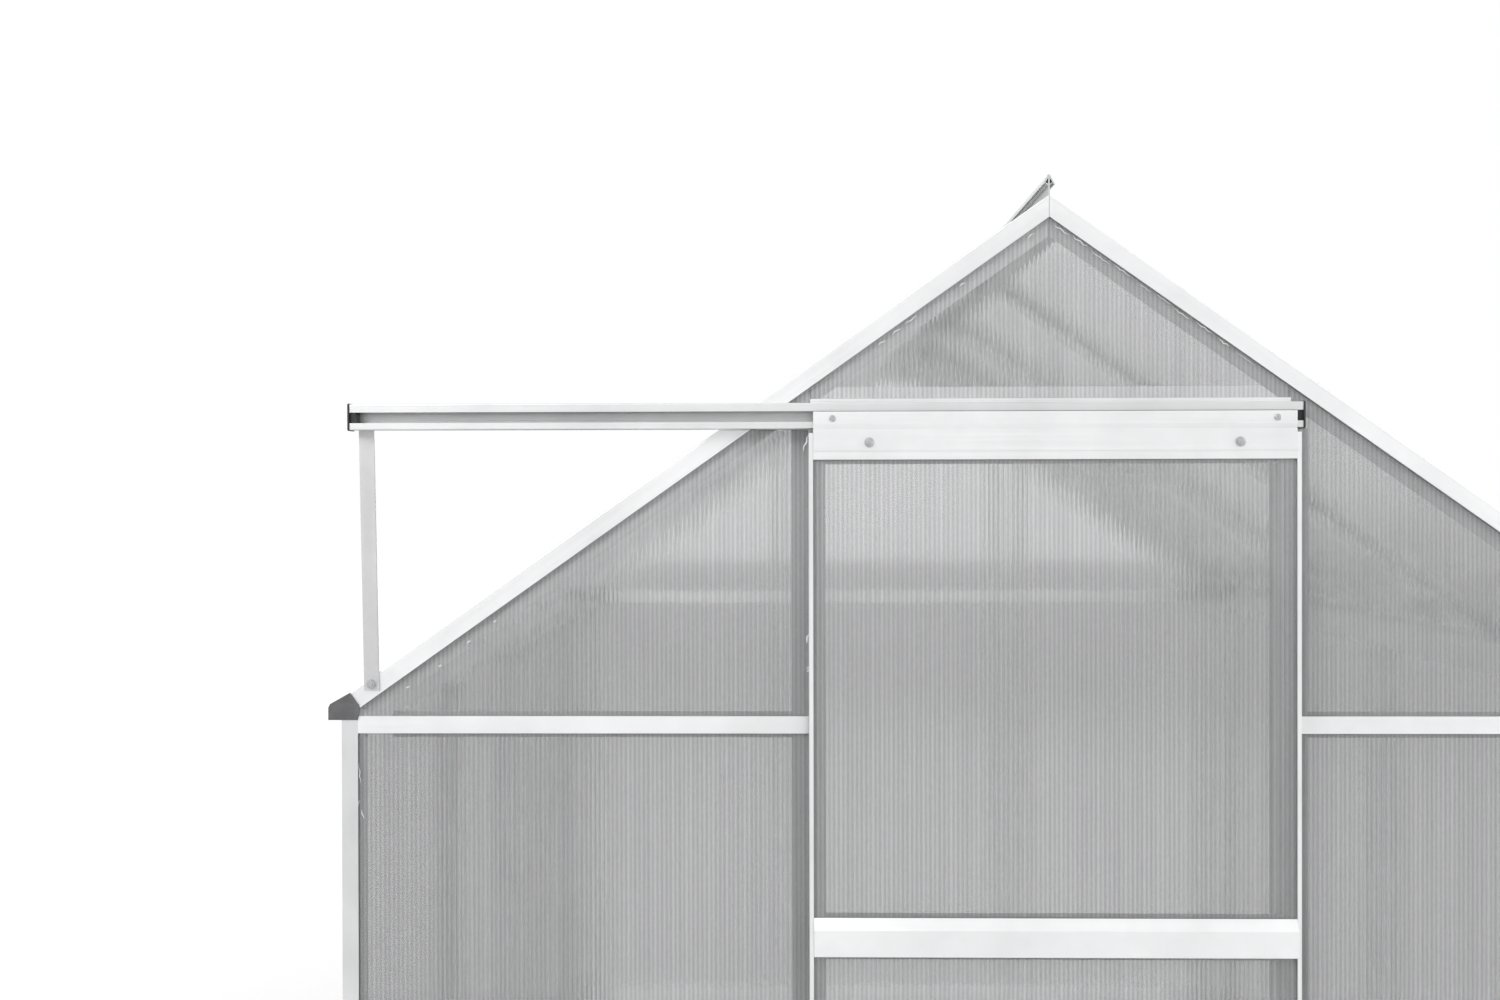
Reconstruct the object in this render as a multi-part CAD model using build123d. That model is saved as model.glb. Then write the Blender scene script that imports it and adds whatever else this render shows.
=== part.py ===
# Aluminium and twin-wall polycarbonate greenhouse with a sliding door in its front gable.
# Millimetres, +Z up. The door side faces -Y, and the origin is on the ground, in the middle of the
# overall footprint. Every frame bar is an extrusion with a groove that grips the sheet edges.
import math
import os

from build123d import *

# Driving sizes of the house
FRAME_WIDTH = 1890.0        # over the corner posts
BAY_LENGTH = 620.0          # from one stud or rafter to the next
BAYS = 4
EAVE_HEIGHT = 1220.0        # top of the posts, under the gutters
ROOF_PITCH = 35.3           # degrees
ROOF_EDGE_RISE = 28.0       # roof skin above the post tops, measured at the wall face
DOOR_WIDTH = 640.0
DOOR_LAP = 22.0             # door past each side of the doorway

# Sheets and the grooves that hold them
SHEET = 4.0
SHEET_FIT = 0.3             # clearance on each face of a sheet in its groove
JOINT_GAP = 0.3             # between pieces that meet end to end or edge to edge
BAR_WALL = 2.0              # wall of every extrusion
EDGE_ROUND = 1.5            # outer edges of the bars
LIP_ROUND = 0.8             # edges of thin lips
CUT_OVERRUN = 1.0           # cuts past the faces that they go through

# Corner posts
POST_FACE = 22.0
POST_LAP = 11.0             # inner flange past the face, behind the sheet

# Gable rafters
BARGE_FACE = 24.0
BARGE_COVER = 24.0
BARGE_FACE_LAP = 20.0
BARGE_COVER_LAP = 9.0
BARGE_LIP = 2.0             # small lip along the face's lower edge
BARGE_SETBACK = 12.0        # lower end inside the wall face
MITRE_GAP = 0.5

# Wall studs and roof rafters
STUD_COVER = 22.0
STUD_LAP = 9.0
STUD_FIN = 18.0
STUD_WEB = 3.0

# Base sills
SILL_FACE = 45.0
SILL_LAP = 13.0
SILL_SEAT = 32.0            # where the sheets stand
SILL_FOOT = 40.0
ANCHOR_RADIUS = 3.5
ANCHOR_INSET = 26.0         # anchor holes in from the wall face
ANCHOR_END = 340.0          # anchor holes in from the gable faces

# Eave-height bars across the gables
GABLE_BAR_FACE = 23.0
GABLE_BAR_LAP = 6.0
GABLE_BAR_RISE = 5.0        # top of the bar above the post tops
GABLE_BAR_TRIM = 36.0       # back flange short of the corner, clear of the rafter

# Doorway
JAMB_FACE = 22.0
JAMB_LAP = 22.0
JAMB_REVEAL = 28.0
HEADER_INSET = 3.0          # header's ends inside the door's edges
HEADER_DROP = 16.2          # header's top corners under the rafter face
HEADER_FACE = 40.5
HEADER_LAP = 16.0
HEADER_SEAT = 29.5          # where the apex sheet stands, above the header's lower edge
HEADER_STANDOFF = 3.0
HEADER_BEAD = 3.0           # raised bead along the header's top edge
HEADER_BEAD_STEP = 1.0
THRESHOLD_HEIGHT = 26.0
THRESHOLD_DEPTH = 30.0
BACK_STUD_OFFSET = 320.0    # back gable studs from the centre line

# Gutters along both eaves
GUTTER_OVERHANG = 16.0
GUTTER_LIP = 16.5
GUTTER_CURL = 4.0           # turned-in edge of the outer wall
GUTTER_SEAT_WIDTH = 50.0    # sloping seat under the roof sheets
GUTTER_OUTER_SKIRT = 20.0   # lips that hang over the wall sheets
GUTTER_INNER_SKIRT = 30.0
ROOF_SETBACK = 4.0          # roof sheets' lower edge inside the wall face
CAP_PLATE = 2.5
CAP_RIM = 1.0               # cap past the gutter's outer face
CAP_PLUG = 8.0
CAP_SHOULDER = 5.0
CAP_TOE = 22.0              # foot of the cap inside the wall face

# Ridge
RIDGE_COVER = 30.0
RIDGE_LAP = 20.0
RIDGE_FIN = 24.0
RIDGE_HEAD = 27.0           # hinge head above the roof apex
RIDGE_ARM_REACH = 8.0
RIDGE_ARM_DROP = 13.0
RIDGE_HOOK_REACH = 4.5
RIDGE_HOOK_RISE = 3.0
RIDGE_HOOK_DROP = 13.0
RIDGE_WEB = 2.5
RIDGE_INSET = 2.3           # ridge end behind the gable face
SHEET_TOP_GAP = 8.0         # roof sheets start this far down from the ridge line

# Roof vents
VENT_START = 34.0
VENT_RING = 25.0
VENT_DEPTH = 14.0
VENT_SIDE_GAP = 3.0         # from the rafter's centre line
VENT_GRIP = 8.0
VENT_LIFT = 0.3
VENT_BAR = 620.0            # cross bar's place down the slope
VENT_BAR_COVER = 30.0
VENT_FOOT_LAP = 20.0        # vent past the cross bar's middle
VENT_FLASHING = 2.0
LEFT_VENT_BAY_INDEX = 1
RIGHT_VENT_BAY_INDEX = 2

# Door rail over the doorway
RAIL_HEIGHT = 34.0
RAIL_DEPTH = 25.0
RAIL_UPPER_LIP = 11.0
RAIL_LOWER_LIP = 9.0
RAIL_LEFT_INSET = 20.0      # rail's free end inside the wall face
RAIL_RIGHT_PAST = 5.0       # rail past the closed door's edge
RAIL_RIB_RISE = 13.0        # rib on the back wall, above the rail's underside
RAIL_RIB_HEIGHT = 1.5
RAIL_RIB_DEPTH = 1.0
RAIL_CAP_PLUG = 8.0
RAIL_CAP_RIM = 1.0          # cap past the rail all round
RAIL_CAP_ROUND = 3.0
STRUT_WIDTH = 20.0
STRUT_THICKNESS = 3.0
STRUT_HEAD_INSET = 15.0     # strut's centre in from the rail's end
STRUT_LEAN = 6.5            # foot nearer the ridge than the head
STRUT_FOOT_DROP = 18.0      # foot below the rafter's top edge

# Guide track at the foot of the door
TRACK_PLATE = 24.0
TRACK_LIP = 16.0
TRACK_GAP = 6.0             # on each side of the door's tongue

# Door leaf
RUNNING_GAP = 6.0
LEAF_DEPTH = 18.0
STILE_LIP = 5.5
STILE_FLANGE = 20.5
STILE_RETURN = 14.0
LEAF_FOOT = 26.0            # underside of the stiles above the ground
TOP_RAIL_HEIGHT = 63.0
TOP_RAIL_UPPER_BAND = 16.5
TOP_RAIL_FALL = 6.5         # strip under the upper band that leans back
TOP_RAIL_FALL_DEPTH = 1.5
TOP_RAIL_LOWER_BAND = 10.0
TOP_RAIL_GROOVE = 1.5       # fine groove over the lower band
TOP_RAIL_STEP = 1.0         # bands ahead of the stile lips
TOP_RAIL_LIFT = 22.0        # top rail above the doorway's head
TOP_RAIL_SEAT = 14.0
MID_RAIL_FOOT = 917.0
MID_RAIL_HEIGHT = 49.0
MID_RAIL_SLOPE_HEIGHT = 14.0
MID_RAIL_REACH = 10.0       # grip face ahead of the stile lips
LEAF_LAP = 6.0
BOTTOM_RAIL_TOP = 75.0
BOTTOM_RAIL_TONGUE = 8.0    # underside of the tongue above the ground
BOTTOM_RAIL_SEAT = 60.0
WHEEL_RADIUS = 10.6
WHEEL_WIDTH = 10.0
WHEEL_LIFT = 0.3
WHEEL_CHAMFER = 1.5
WHEEL_BACK_GAP = 6.0
AXLE_RADIUS = 3.0
WHEEL_INSET = 31.0

# Derived sizes
GROOVE = SHEET + 2 * SHEET_FIT
FLANGE_FRONT = BAR_WALL + GROOVE
FLANGE_BACK = FLANGE_FRONT + BAR_WALL
HALF_WIDTH = FRAME_WIDTH / 2
FRAME_LENGTH = BAYS * BAY_LENGTH
COS = math.cos(math.radians(ROOF_PITCH))
SIN = math.sin(math.radians(ROOF_PITCH))
TAN = math.tan(math.radians(ROOF_PITCH))
APEX_Z = EAVE_HEIGHT + ROOF_EDGE_RISE + HALF_WIDTH * TAN
BARGE_DEPTH = BARGE_FACE + BARGE_FACE_LAP
BARGE_END = (HALF_WIDTH - BARGE_SETBACK) / COS
SHEET_END = (HALF_WIDTH - ROOF_SETBACK) / COS
GUTTER_SEAT_START = SHEET_END - GUTTER_SEAT_WIDTH

HALF_DOOR = DOOR_WIDTH / 2
HALF_DOORWAY = HALF_DOOR - DOOR_LAP
HALF_HEADER = HALF_DOOR - HEADER_INSET
HEADER_TOP = APEX_Z - BARGE_FACE / COS - HALF_HEADER * TAN - HEADER_DROP
DOORWAY_HEIGHT = HEADER_TOP - HEADER_FACE
RAIL_BACK = HEADER_STANDOFF
RAIL_FRONT = RAIL_BACK + RAIL_DEPTH
RAIL_Z = DOORWAY_HEIGHT
RAIL_LEFT_REACH = HALF_WIDTH - RAIL_LEFT_INSET
RAIL_RIGHT_REACH = HALF_DOOR + RAIL_RIGHT_PAST
LEAF_FRONT = RAIL_FRONT + RUNNING_GAP + BAR_WALL
LEAF_BACK = LEAF_FRONT - LEAF_DEPTH
LEAF_SHEET_FRONT = LEAF_FRONT - BAR_WALL - SHEET_FIT
LEAF_FLANGE_FRONT = LEAF_SHEET_FRONT - SHEET - SHEET_FIT
LEAF_FLANGE_BACK = LEAF_FLANGE_FRONT - BAR_WALL
FRONT_REACH = LEAF_FRONT - BAR_WALL + MID_RAIL_REACH
FRONT_Y = (FRONT_REACH - CAP_PLATE - FRAME_LENGTH) / 2
BACK_Y = FRONT_Y + FRAME_LENGTH
JAMB_EDGE = HALF_DOORWAY + JAMB_FACE
POST_EDGE = HALF_WIDTH - POST_FACE
POST_INNER_EDGE = POST_EDGE - POST_LAP
POST_GROOVE = HALF_WIDTH - FLANGE_BACK
GABLE_BAR_Z = EAVE_HEIGHT + GABLE_BAR_RISE - GABLE_BAR_FACE / 2
VENT_END = VENT_BAR + VENT_FOOT_LAP
RUNNERS = [FRONT_Y + BAY_LENGTH * n for n in range(1, BAYS)]

MID_PLANE = Plane((0, (FRONT_Y + BACK_Y) / 2, 0), x_dir=(1, 0, 0), z_dir=(0, 1, 0))


# Drawing helpers
def plate(x0, x1, y0, y1):
    """A rectangle of a section, between two corners."""
    return Pos((x0 + x1) / 2, (y0 + y1) / 2) * Rectangle(abs(x1 - x0), abs(y1 - y0))


def outline(*points):
    return Polygon(*points, align=None)


def rounded(section, radius, *corners):
    """A section with the corners nearest to the given points rounded."""
    for corner in corners:
        section = fillet(section.vertices().sort_by_distance((*corner, 0))[0], radius)
    return section


def block(x0, x1, y0, y1, z0, z1):
    return Pos((x0 + x1) / 2, (y0 + y1) / 2, (z0 + z1) / 2) * Box(x1 - x0, y1 - y0, z1 - z0)


def run_x(section, x0, x1):
    """A bar along X. The section is drawn as (depth into the front wall, height)."""
    start = Plane((x0, FRONT_Y, 0), x_dir=(0, 1, 0), z_dir=(1, 0, 0))
    return extrude(start * section, amount=x1 - x0, dir=start.z_dir)


def run_y(section, y0, y1):
    """A bar along Y. The section is drawn as (x, z)."""
    start = Plane((0, y1, 0), x_dir=(1, 0, 0), z_dir=(0, -1, 0))
    return extrude(start * section, amount=y1 - y0, dir=start.z_dir)


def run_z(section, z0, z1):
    """An upright. The section is drawn as (x, y)."""
    start = Plane.XY.offset(z0)
    return extrude(start * section, amount=z1 - z0, dir=start.z_dir)


def run_slope(section, u0, u1):
    """A bar down the left roof slope. The section is drawn as (depth under the roof skin, y)."""
    foot = (-u1 * COS, 0, APEX_Z - u1 * SIN)
    start = Plane(foot, x_dir=(SIN, 0, -COS), z_dir=(COS, 0, SIN))
    return extrude(start * section, amount=u1 - u0, dir=start.z_dir)


def to_right(shape):
    return mirror(shape, about=Plane.YZ)


def to_back(shape):
    return mirror(shape, about=MID_PLANE)


def both_sides(shape):
    return [shape, to_right(shape)]


def roof_z(x, depth):
    """Height of the line that lies the given depth under the roof skin."""
    return APEX_Z - depth / COS - abs(x) * TAN


def roof_xz(u, depth):
    """A point of the left slope, u down from the ridge and the given depth under the skin."""
    return (-u * COS + depth * SIN, APEX_Z - u * SIN - depth * COS)


# Sections of the extrusions
def corner_section(face_a, face_b, lap_a, lap_b):
    """Two grooves at a right angle: outer skin, inner flanges and the block between them."""
    skin = plate(0, face_a, 0, BAR_WALL) + plate(0, BAR_WALL, 0, face_b)
    flanges = plate(FLANGE_FRONT, face_a + lap_a, FLANGE_FRONT, FLANGE_BACK)
    flanges += plate(FLANGE_FRONT, FLANGE_BACK, FLANGE_FRONT, face_b + lap_b)
    section = skin + flanges + plate(0, FLANGE_BACK, 0, FLANGE_BACK)
    return rounded(section, EDGE_ROUND, (0, 0))


def stud_skin():
    """Outer cover of a stud or rafter, as (depth, across)."""
    half = STUD_COVER / 2
    return rounded(plate(0, BAR_WALL, -half, half), LIP_ROUND, (0, -half), (0, half))


def stud_core():
    """Web, inner flange and fin of a stud or rafter, as (depth, across)."""
    half_flange = STUD_COVER / 2 + STUD_LAP
    web = plate(BAR_WALL, FLANGE_BACK + STUD_FIN, -STUD_WEB / 2, STUD_WEB / 2)
    return web + plate(FLANGE_FRONT, FLANGE_BACK, -half_flange, half_flange)


def sill_skin():
    """Outer plate and sheet seat of a base sill, as (depth, height)."""
    seat = plate(BAR_WALL, FLANGE_FRONT, SILL_SEAT - BAR_WALL, SILL_SEAT)
    return plate(0, BAR_WALL, 0, SILL_FACE) + seat


def sill_core():
    """Inner plate of a base sill, as (depth, height)."""
    return plate(FLANGE_FRONT, FLANGE_BACK, 0, SILL_FACE + SILL_LAP)


def sill_foot():
    """Foot of a base sill, flat on the ground, as (depth, height)."""
    return plate(FLANGE_FRONT, SILL_FOOT, 0, BAR_WALL)


def chevron(top, depth0, depth1, reach):
    """An inverted V of even thickness, both slopes, with its apex at the given height."""
    def point(side, u, depth):
        return (side * (u * COS - depth * SIN), top - u * SIN - depth * COS)

    return outline(
        point(-1, reach, depth0), (0, top - depth0 / COS), point(1, reach, depth0),
        point(1, reach, depth1), (0, top - depth1 / COS), point(-1, reach, depth1),
    )


# Base
def side_sill():
    """Left base sill, between the corner posts, with two anchor holes in its foot."""
    def as_left(section):
        return Pos(-HALF_WIDTH, 0) * section

    sill = run_y(as_left(sill_skin()), FRONT_Y + POST_FACE, BACK_Y - POST_FACE)
    inset = POST_FACE + POST_LAP
    sill += run_y(as_left(sill_core() + sill_foot()), FRONT_Y + inset, BACK_Y - inset)
    middle = (FRONT_Y + BACK_Y) / 2
    for end in (-1, 1):
        along = middle + end * (FRAME_LENGTH / 2 - ANCHOR_END)
        place = Pos(ANCHOR_INSET - HALF_WIDTH, along, BAR_WALL / 2)
        sill -= place * Cylinder(ANCHOR_RADIUS, BAR_WALL + 2 * CUT_OVERRUN)
    return sill


def gable_sill(outer_x0, outer_x1, inner_x0, inner_x1, foot_x0, foot_x1):
    """A length of base sill along the front wall. Its foot stops at the side sill's foot."""
    sill = run_x(sill_skin(), outer_x0, outer_x1) + run_x(sill_core(), inner_x0, inner_x1)
    return sill + run_x(sill_foot(), foot_x0, foot_x1)


def front_sill():
    jamb_inner = JAMB_EDGE + JAMB_LAP
    foot_edge = HALF_WIDTH - SILL_FOOT - JOINT_GAP
    return gable_sill(
        -POST_EDGE, -JAMB_EDGE, -POST_INNER_EDGE, -jamb_inner, -foot_edge, -jamb_inner
    )


def threshold():
    """Low step between the door jambs."""
    top = THRESHOLD_HEIGHT
    section = plate(0, BAR_WALL, 0, top) + plate(THRESHOLD_DEPTH - BAR_WALL, THRESHOLD_DEPTH, 0, top)
    section += plate(0, THRESHOLD_DEPTH, top - BAR_WALL, top)
    return run_x(section, -HALF_DOORWAY, HALF_DOORWAY)


# Uprights
def corner_post():
    """Front left corner post."""
    section = corner_section(POST_FACE, POST_FACE, POST_LAP, POST_LAP)
    return run_z(Pos(-HALF_WIDTH, FRONT_Y) * section, 0, EAVE_HEIGHT)


def wall_stud(y):
    """A stud of the left wall."""
    place = Pos(-HALF_WIDTH, y)
    skin = run_z(place * stud_skin(), SILL_FACE, EAVE_HEIGHT - GUTTER_OUTER_SKIRT)
    core_top = EAVE_HEIGHT - GUTTER_INNER_SKIRT
    return skin + run_z(place * stud_core(), SILL_FACE + SILL_LAP, core_top)


def door_jamb():
    """Left jamb of the doorway. Its reveal lines the opening."""
    section = plate(0, JAMB_FACE, 0, BAR_WALL) + plate(0, BAR_WALL, 0, JAMB_REVEAL)
    section += plate(0, JAMB_FACE + JAMB_LAP, FLANGE_FRONT, FLANGE_BACK)
    turned = mirror(section, about=Plane.YZ)
    return run_z(Pos(-HALF_DOORWAY, FRONT_Y) * turned, 0, DOORWAY_HEIGHT)


def back_stud():
    """Left stud of the back gable, cut to the slope under the rafter. Built on the front wall."""
    def upright(section, depth, foot):
        turned = Pos(-BACK_STUD_OFFSET, FRONT_Y) * Rot(0, 0, 90) * mirror(section, about=Plane.XZ)
        bar = run_z(turned, foot, APEX_Z)
        limit = outline(
            (-HALF_WIDTH, 0), (0, 0), (0, roof_z(0, depth)), (-HALF_WIDTH, roof_z(HALF_WIDTH, depth))
        )
        return bar & run_y(limit, FRONT_Y, BACK_Y)

    skin = upright(stud_skin(), BARGE_FACE + JOINT_GAP, SILL_FACE)
    return skin + upright(stud_core(), BARGE_DEPTH + JOINT_GAP, SILL_FACE + SILL_LAP)


# Gable frame
def gable_rafter():
    """Front left rafter, mitred at the ridge and cut square at the eave."""
    section = corner_section(BARGE_FACE, BARGE_COVER, BARGE_FACE_LAP, BARGE_COVER_LAP)
    section += plate(BARGE_FACE - BAR_WALL, BARGE_FACE, -BARGE_LIP, 0)
    rafter = run_slope(Pos(0, FRONT_Y) * section, 0, BARGE_END)
    face_back = FRONT_Y + RIDGE_INSET - JOINT_GAP
    keep = block(-FRAME_WIDTH, -MITRE_GAP / 2, FRONT_Y - BARGE_LIP, face_back, 0, APEX_Z)
    ridge_side = -RIDGE_WEB / 2 - JOINT_GAP
    keep += block(-FRAME_WIDTH, ridge_side, face_back, BACK_Y, 0, APEX_Z)
    return rafter & keep


def gable_bar(outer_x0, outer_x1, inner_x0, inner_x1):
    """An eave-height bar that joins the lower and upper gable sheets."""
    half = GABLE_BAR_FACE / 2
    reach = half + GABLE_BAR_LAP
    face = plate(0, BAR_WALL, GABLE_BAR_Z - half, GABLE_BAR_Z + half)
    web = plate(BAR_WALL, FLANGE_FRONT, GABLE_BAR_Z - BAR_WALL / 2, GABLE_BAR_Z + BAR_WALL / 2)
    flange = plate(FLANGE_FRONT, FLANGE_BACK, GABLE_BAR_Z - reach, GABLE_BAR_Z + reach)
    return run_x(face + web, outer_x0, outer_x1) + run_x(flange, inner_x0, inner_x1)


def header():
    """Bar over the doorway. It carries the rail and the foot of the apex sheet."""
    foot = DOORWAY_HEIGHT
    seat = foot + HEADER_SEAT
    top = HEADER_TOP
    section = plate(-HEADER_STANDOFF, -HEADER_STANDOFF + BAR_WALL, foot, top)
    section += plate(-HEADER_STANDOFF, FLANGE_BACK, foot, foot + BAR_WALL)
    section += plate(0, BAR_WALL, seat - BAR_WALL, top)
    section += plate(-HEADER_STANDOFF, FLANGE_FRONT, seat - BAR_WALL, seat)
    section += plate(-HEADER_STANDOFF, BAR_WALL, top - BAR_WALL, top)
    section += plate(-HEADER_STANDOFF - HEADER_BEAD_STEP, -HEADER_STANDOFF, top - HEADER_BEAD, top)
    flange_top = top + HEADER_LAP
    under_rafter = BARGE_DEPTH + JOINT_GAP
    corner = (APEX_Z - under_rafter / COS - flange_top) / TAN
    flange = outline(
        (-HALF_HEADER, foot), (HALF_HEADER, foot), (HALF_HEADER, roof_z(HALF_HEADER, under_rafter)),
        (corner, flange_top), (-corner, flange_top),
        (-HALF_HEADER, roof_z(HALF_HEADER, under_rafter)),
    )
    bar = run_x(section, -HALF_HEADER, HALF_HEADER)
    return bar + run_y(flange, FRONT_Y + FLANGE_FRONT, FRONT_Y + FLANGE_BACK)


# Roof frame
def gutter():
    """Left eave gutter: trough, sloping seat for the roof sheets and two skirts over the wall sheets."""
    outer = -HALF_WIDTH - GUTTER_OVERHANG
    inner = -HALF_WIDTH + FLANGE_BACK
    wall_top = roof_z(inner - BAR_WALL, FLANGE_FRONT)
    trough = plate(outer, inner, EAVE_HEIGHT, EAVE_HEIGHT + BAR_WALL)
    lip_top = EAVE_HEIGHT + GUTTER_LIP
    trough += plate(outer, outer + BAR_WALL, EAVE_HEIGHT, lip_top)
    trough += plate(outer, outer + GUTTER_CURL, lip_top - BAR_WALL, lip_top)
    trough = rounded(trough, EDGE_ROUND, (outer, EAVE_HEIGHT), (outer, lip_top))
    trough += outline(
        (inner - BAR_WALL, EAVE_HEIGHT), (inner, EAVE_HEIGHT),
        (inner, roof_z(inner, FLANGE_BACK)), (inner - BAR_WALL, wall_top),
    )
    seat = outline(
        roof_xz(SHEET_END, FLANGE_FRONT), roof_xz(GUTTER_SEAT_START, FLANGE_FRONT),
        roof_xz(GUTTER_SEAT_START, FLANGE_BACK), (inner, roof_z(inner, FLANGE_BACK)),
        (inner - BAR_WALL, wall_top),
    )
    outer_skirt = plate(
        -HALF_WIDTH, -HALF_WIDTH + BAR_WALL, EAVE_HEIGHT - GUTTER_OUTER_SKIRT, EAVE_HEIGHT
    )
    inner_skirt = plate(inner - BAR_WALL, inner, EAVE_HEIGHT - GUTTER_INNER_SKIRT, EAVE_HEIGHT)
    rafter_inset = BARGE_COVER + BARGE_COVER_LAP
    post_inset = POST_FACE + POST_LAP
    bar = run_y(trough, FRONT_Y, BACK_Y)
    bar += run_y(seat, FRONT_Y + rafter_inset, BACK_Y - rafter_inset)
    bar += run_y(outer_skirt, FRONT_Y + POST_FACE, BACK_Y - POST_FACE)
    return bar + run_y(inner_skirt, FRONT_Y + post_inset, BACK_Y - post_inset)


def gutter_cap():
    """Plastic cap on the front end of the left gutter, shaped to the rafter's square end."""
    trough = -HALF_WIDTH - GUTTER_OVERHANG
    outer = trough - CAP_RIM
    inner = -HALF_WIDTH + FLANGE_BACK
    rafter_top = roof_xz(BARGE_END + JOINT_GAP, 0)
    rafter_foot = roof_xz(BARGE_END + JOINT_GAP, BARGE_FACE)
    shape = outline(
        (outer, EAVE_HEIGHT), (CAP_TOE - HALF_WIDTH, EAVE_HEIGHT), rafter_foot, rafter_top,
        (outer + CAP_SHOULDER / 2, EAVE_HEIGHT + GUTTER_LIP + CAP_SHOULDER),
        (outer, EAVE_HEIGHT + GUTTER_LIP),
    )
    inset = BAR_WALL + JOINT_GAP
    plug_top = EAVE_HEIGHT + GUTTER_LIP - inset
    plug = plate(trough + inset, inner - inset, EAVE_HEIGHT + inset, plug_top)
    return run_y(shape, FRONT_Y - CAP_PLATE, FRONT_Y) + run_y(plug, FRONT_Y, FRONT_Y + CAP_PLUG)


def ridge():
    """Ridge beam: covers and flanges grip the roof sheets, the head above takes the vent hinges."""
    top = APEX_Z + RIDGE_HEAD
    half_web = RIDGE_WEB / 2
    arm_tip = top - RIDGE_ARM_DROP
    hook_z = top - RIDGE_HOOK_DROP
    web_foot = roof_z(0, FLANGE_BACK)
    web = plate(-half_web, half_web, web_foot, top - BAR_WALL)
    head = outline(
        (-half_web, top), (half_web, top),
        (RIDGE_ARM_REACH, arm_tip), (RIDGE_ARM_REACH - BAR_WALL, arm_tip), (0, top - RIDGE_WEB),
        (BAR_WALL - RIDGE_ARM_REACH, arm_tip), (-RIDGE_ARM_REACH, arm_tip),
    )
    for side in (-1, 1):
        tip_x = side * RIDGE_HOOK_REACH
        tip_z = hook_z + RIDGE_HOOK_RISE
        head += outline((0, hook_z), (tip_x, tip_z), (tip_x, tip_z - half_web), (0, hook_z - RIDGE_WEB))
    covers = chevron(APEX_Z, 0, BAR_WALL, RIDGE_COVER)
    flanges = chevron(APEX_Z, FLANGE_FRONT, FLANGE_BACK, RIDGE_COVER + RIDGE_LAP)
    flanges += plate(-half_web, half_web, web_foot - RIDGE_FIN, web_foot)
    inset = BARGE_COVER + BARGE_COVER_LAP
    beam = run_y(web + head, FRONT_Y + RIDGE_INSET, BACK_Y - RIDGE_INSET)
    beam += run_y(covers, FRONT_Y + BARGE_COVER, BACK_Y - BARGE_COVER)
    return beam + run_y(flanges, FRONT_Y + inset, BACK_Y - inset)


def roof_rafter(y):
    """A rafter of the left slope, from the ridge flange to the gutter seat."""
    skin = run_slope(Pos(0, y) * stud_skin(), RIDGE_COVER, SHEET_END)
    return skin + run_slope(Pos(0, y) * stud_core(), RIDGE_COVER + RIDGE_LAP, GUTTER_SEAT_START)


def bay_edges(bay):
    """Centre lines of the two bars at the sides of a bay."""
    return FRONT_Y + bay * BAY_LENGTH, FRONT_Y + (bay + 1) * BAY_LENGTH


def vent_cross_bar(bay):
    """Bar under the lower edge of a vent, between two rafters of the left slope."""
    y0, y1 = bay_edges(bay)
    half = VENT_BAR_COVER / 2
    half_wall = BAR_WALL / 2
    cover_inset = STUD_COVER / 2
    flange_inset = cover_inset + STUD_LAP
    cover = plate(0, BAR_WALL, y0 + cover_inset, y1 - cover_inset)
    web = plate(BAR_WALL, FLANGE_FRONT, y0 + cover_inset, y1 - cover_inset)
    flange = plate(FLANGE_FRONT, FLANGE_BACK, y0 + flange_inset, y1 - flange_inset)
    bar = run_slope(cover, VENT_BAR - half, VENT_BAR + half)
    bar += run_slope(web, VENT_BAR - half_wall, VENT_BAR + half_wall)
    return bar + run_slope(flange, VENT_BAR - half - STUD_LAP, VENT_BAR + half + STUD_LAP)


def vent_frame(bay):
    """Closed vent on the left slope: a ring with a sheet groove, and flashing up to the ridge head."""
    y0, y1 = bay_edges(bay)
    y0 += VENT_SIDE_GAP
    y1 -= VENT_SIDE_GAP
    top = -VENT_LIFT - VENT_DEPTH
    ring = run_slope(plate(top, -VENT_LIFT, y0, y1), VENT_START, VENT_END)
    hole = plate(top - CUT_OVERRUN, CUT_OVERRUN - VENT_LIFT, y0 + VENT_RING, y1 - VENT_RING)
    ring -= run_slope(hole, VENT_START + VENT_RING, VENT_END - VENT_RING)
    rim = VENT_RING - VENT_GRIP
    middle = top + VENT_DEPTH / 2
    groove = plate(middle - GROOVE / 2, middle + GROOVE / 2, y0 + rim, y1 - rim)
    ring -= run_slope(groove, VENT_START + rim, VENT_END - rim)
    hook_z = APEX_Z + RIDGE_HEAD - RIDGE_ARM_DROP - JOINT_GAP
    foot_x, foot_z = roof_xz(VENT_START, top)
    back_x, back_z = roof_xz(VENT_START, top + VENT_FLASHING)
    flashing = outline(
        (foot_x, foot_z), (-RIDGE_ARM_REACH, hook_z), (BAR_WALL - RIDGE_ARM_REACH, hook_z),
        (back_x, back_z),
    )
    return ring + run_y(flashing, y0, y1)


def vent_sheet(bay):
    y0, y1 = bay_edges(bay)
    inset = VENT_SIDE_GAP + VENT_RING - VENT_GRIP + JOINT_GAP
    middle = -VENT_LIFT - VENT_DEPTH / 2
    section = plate(middle - SHEET / 2, middle + SHEET / 2, y0 + inset, y1 - inset)
    rim = VENT_RING - VENT_GRIP + JOINT_GAP
    return run_slope(section, VENT_START + rim, VENT_END - rim)


# Sheets
def gable_sheet(*points):
    """A front gable sheet, drawn as (x, z)."""
    face = FRONT_Y + BAR_WALL + SHEET_FIT
    return run_y(outline(*points), face, face + SHEET)


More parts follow.
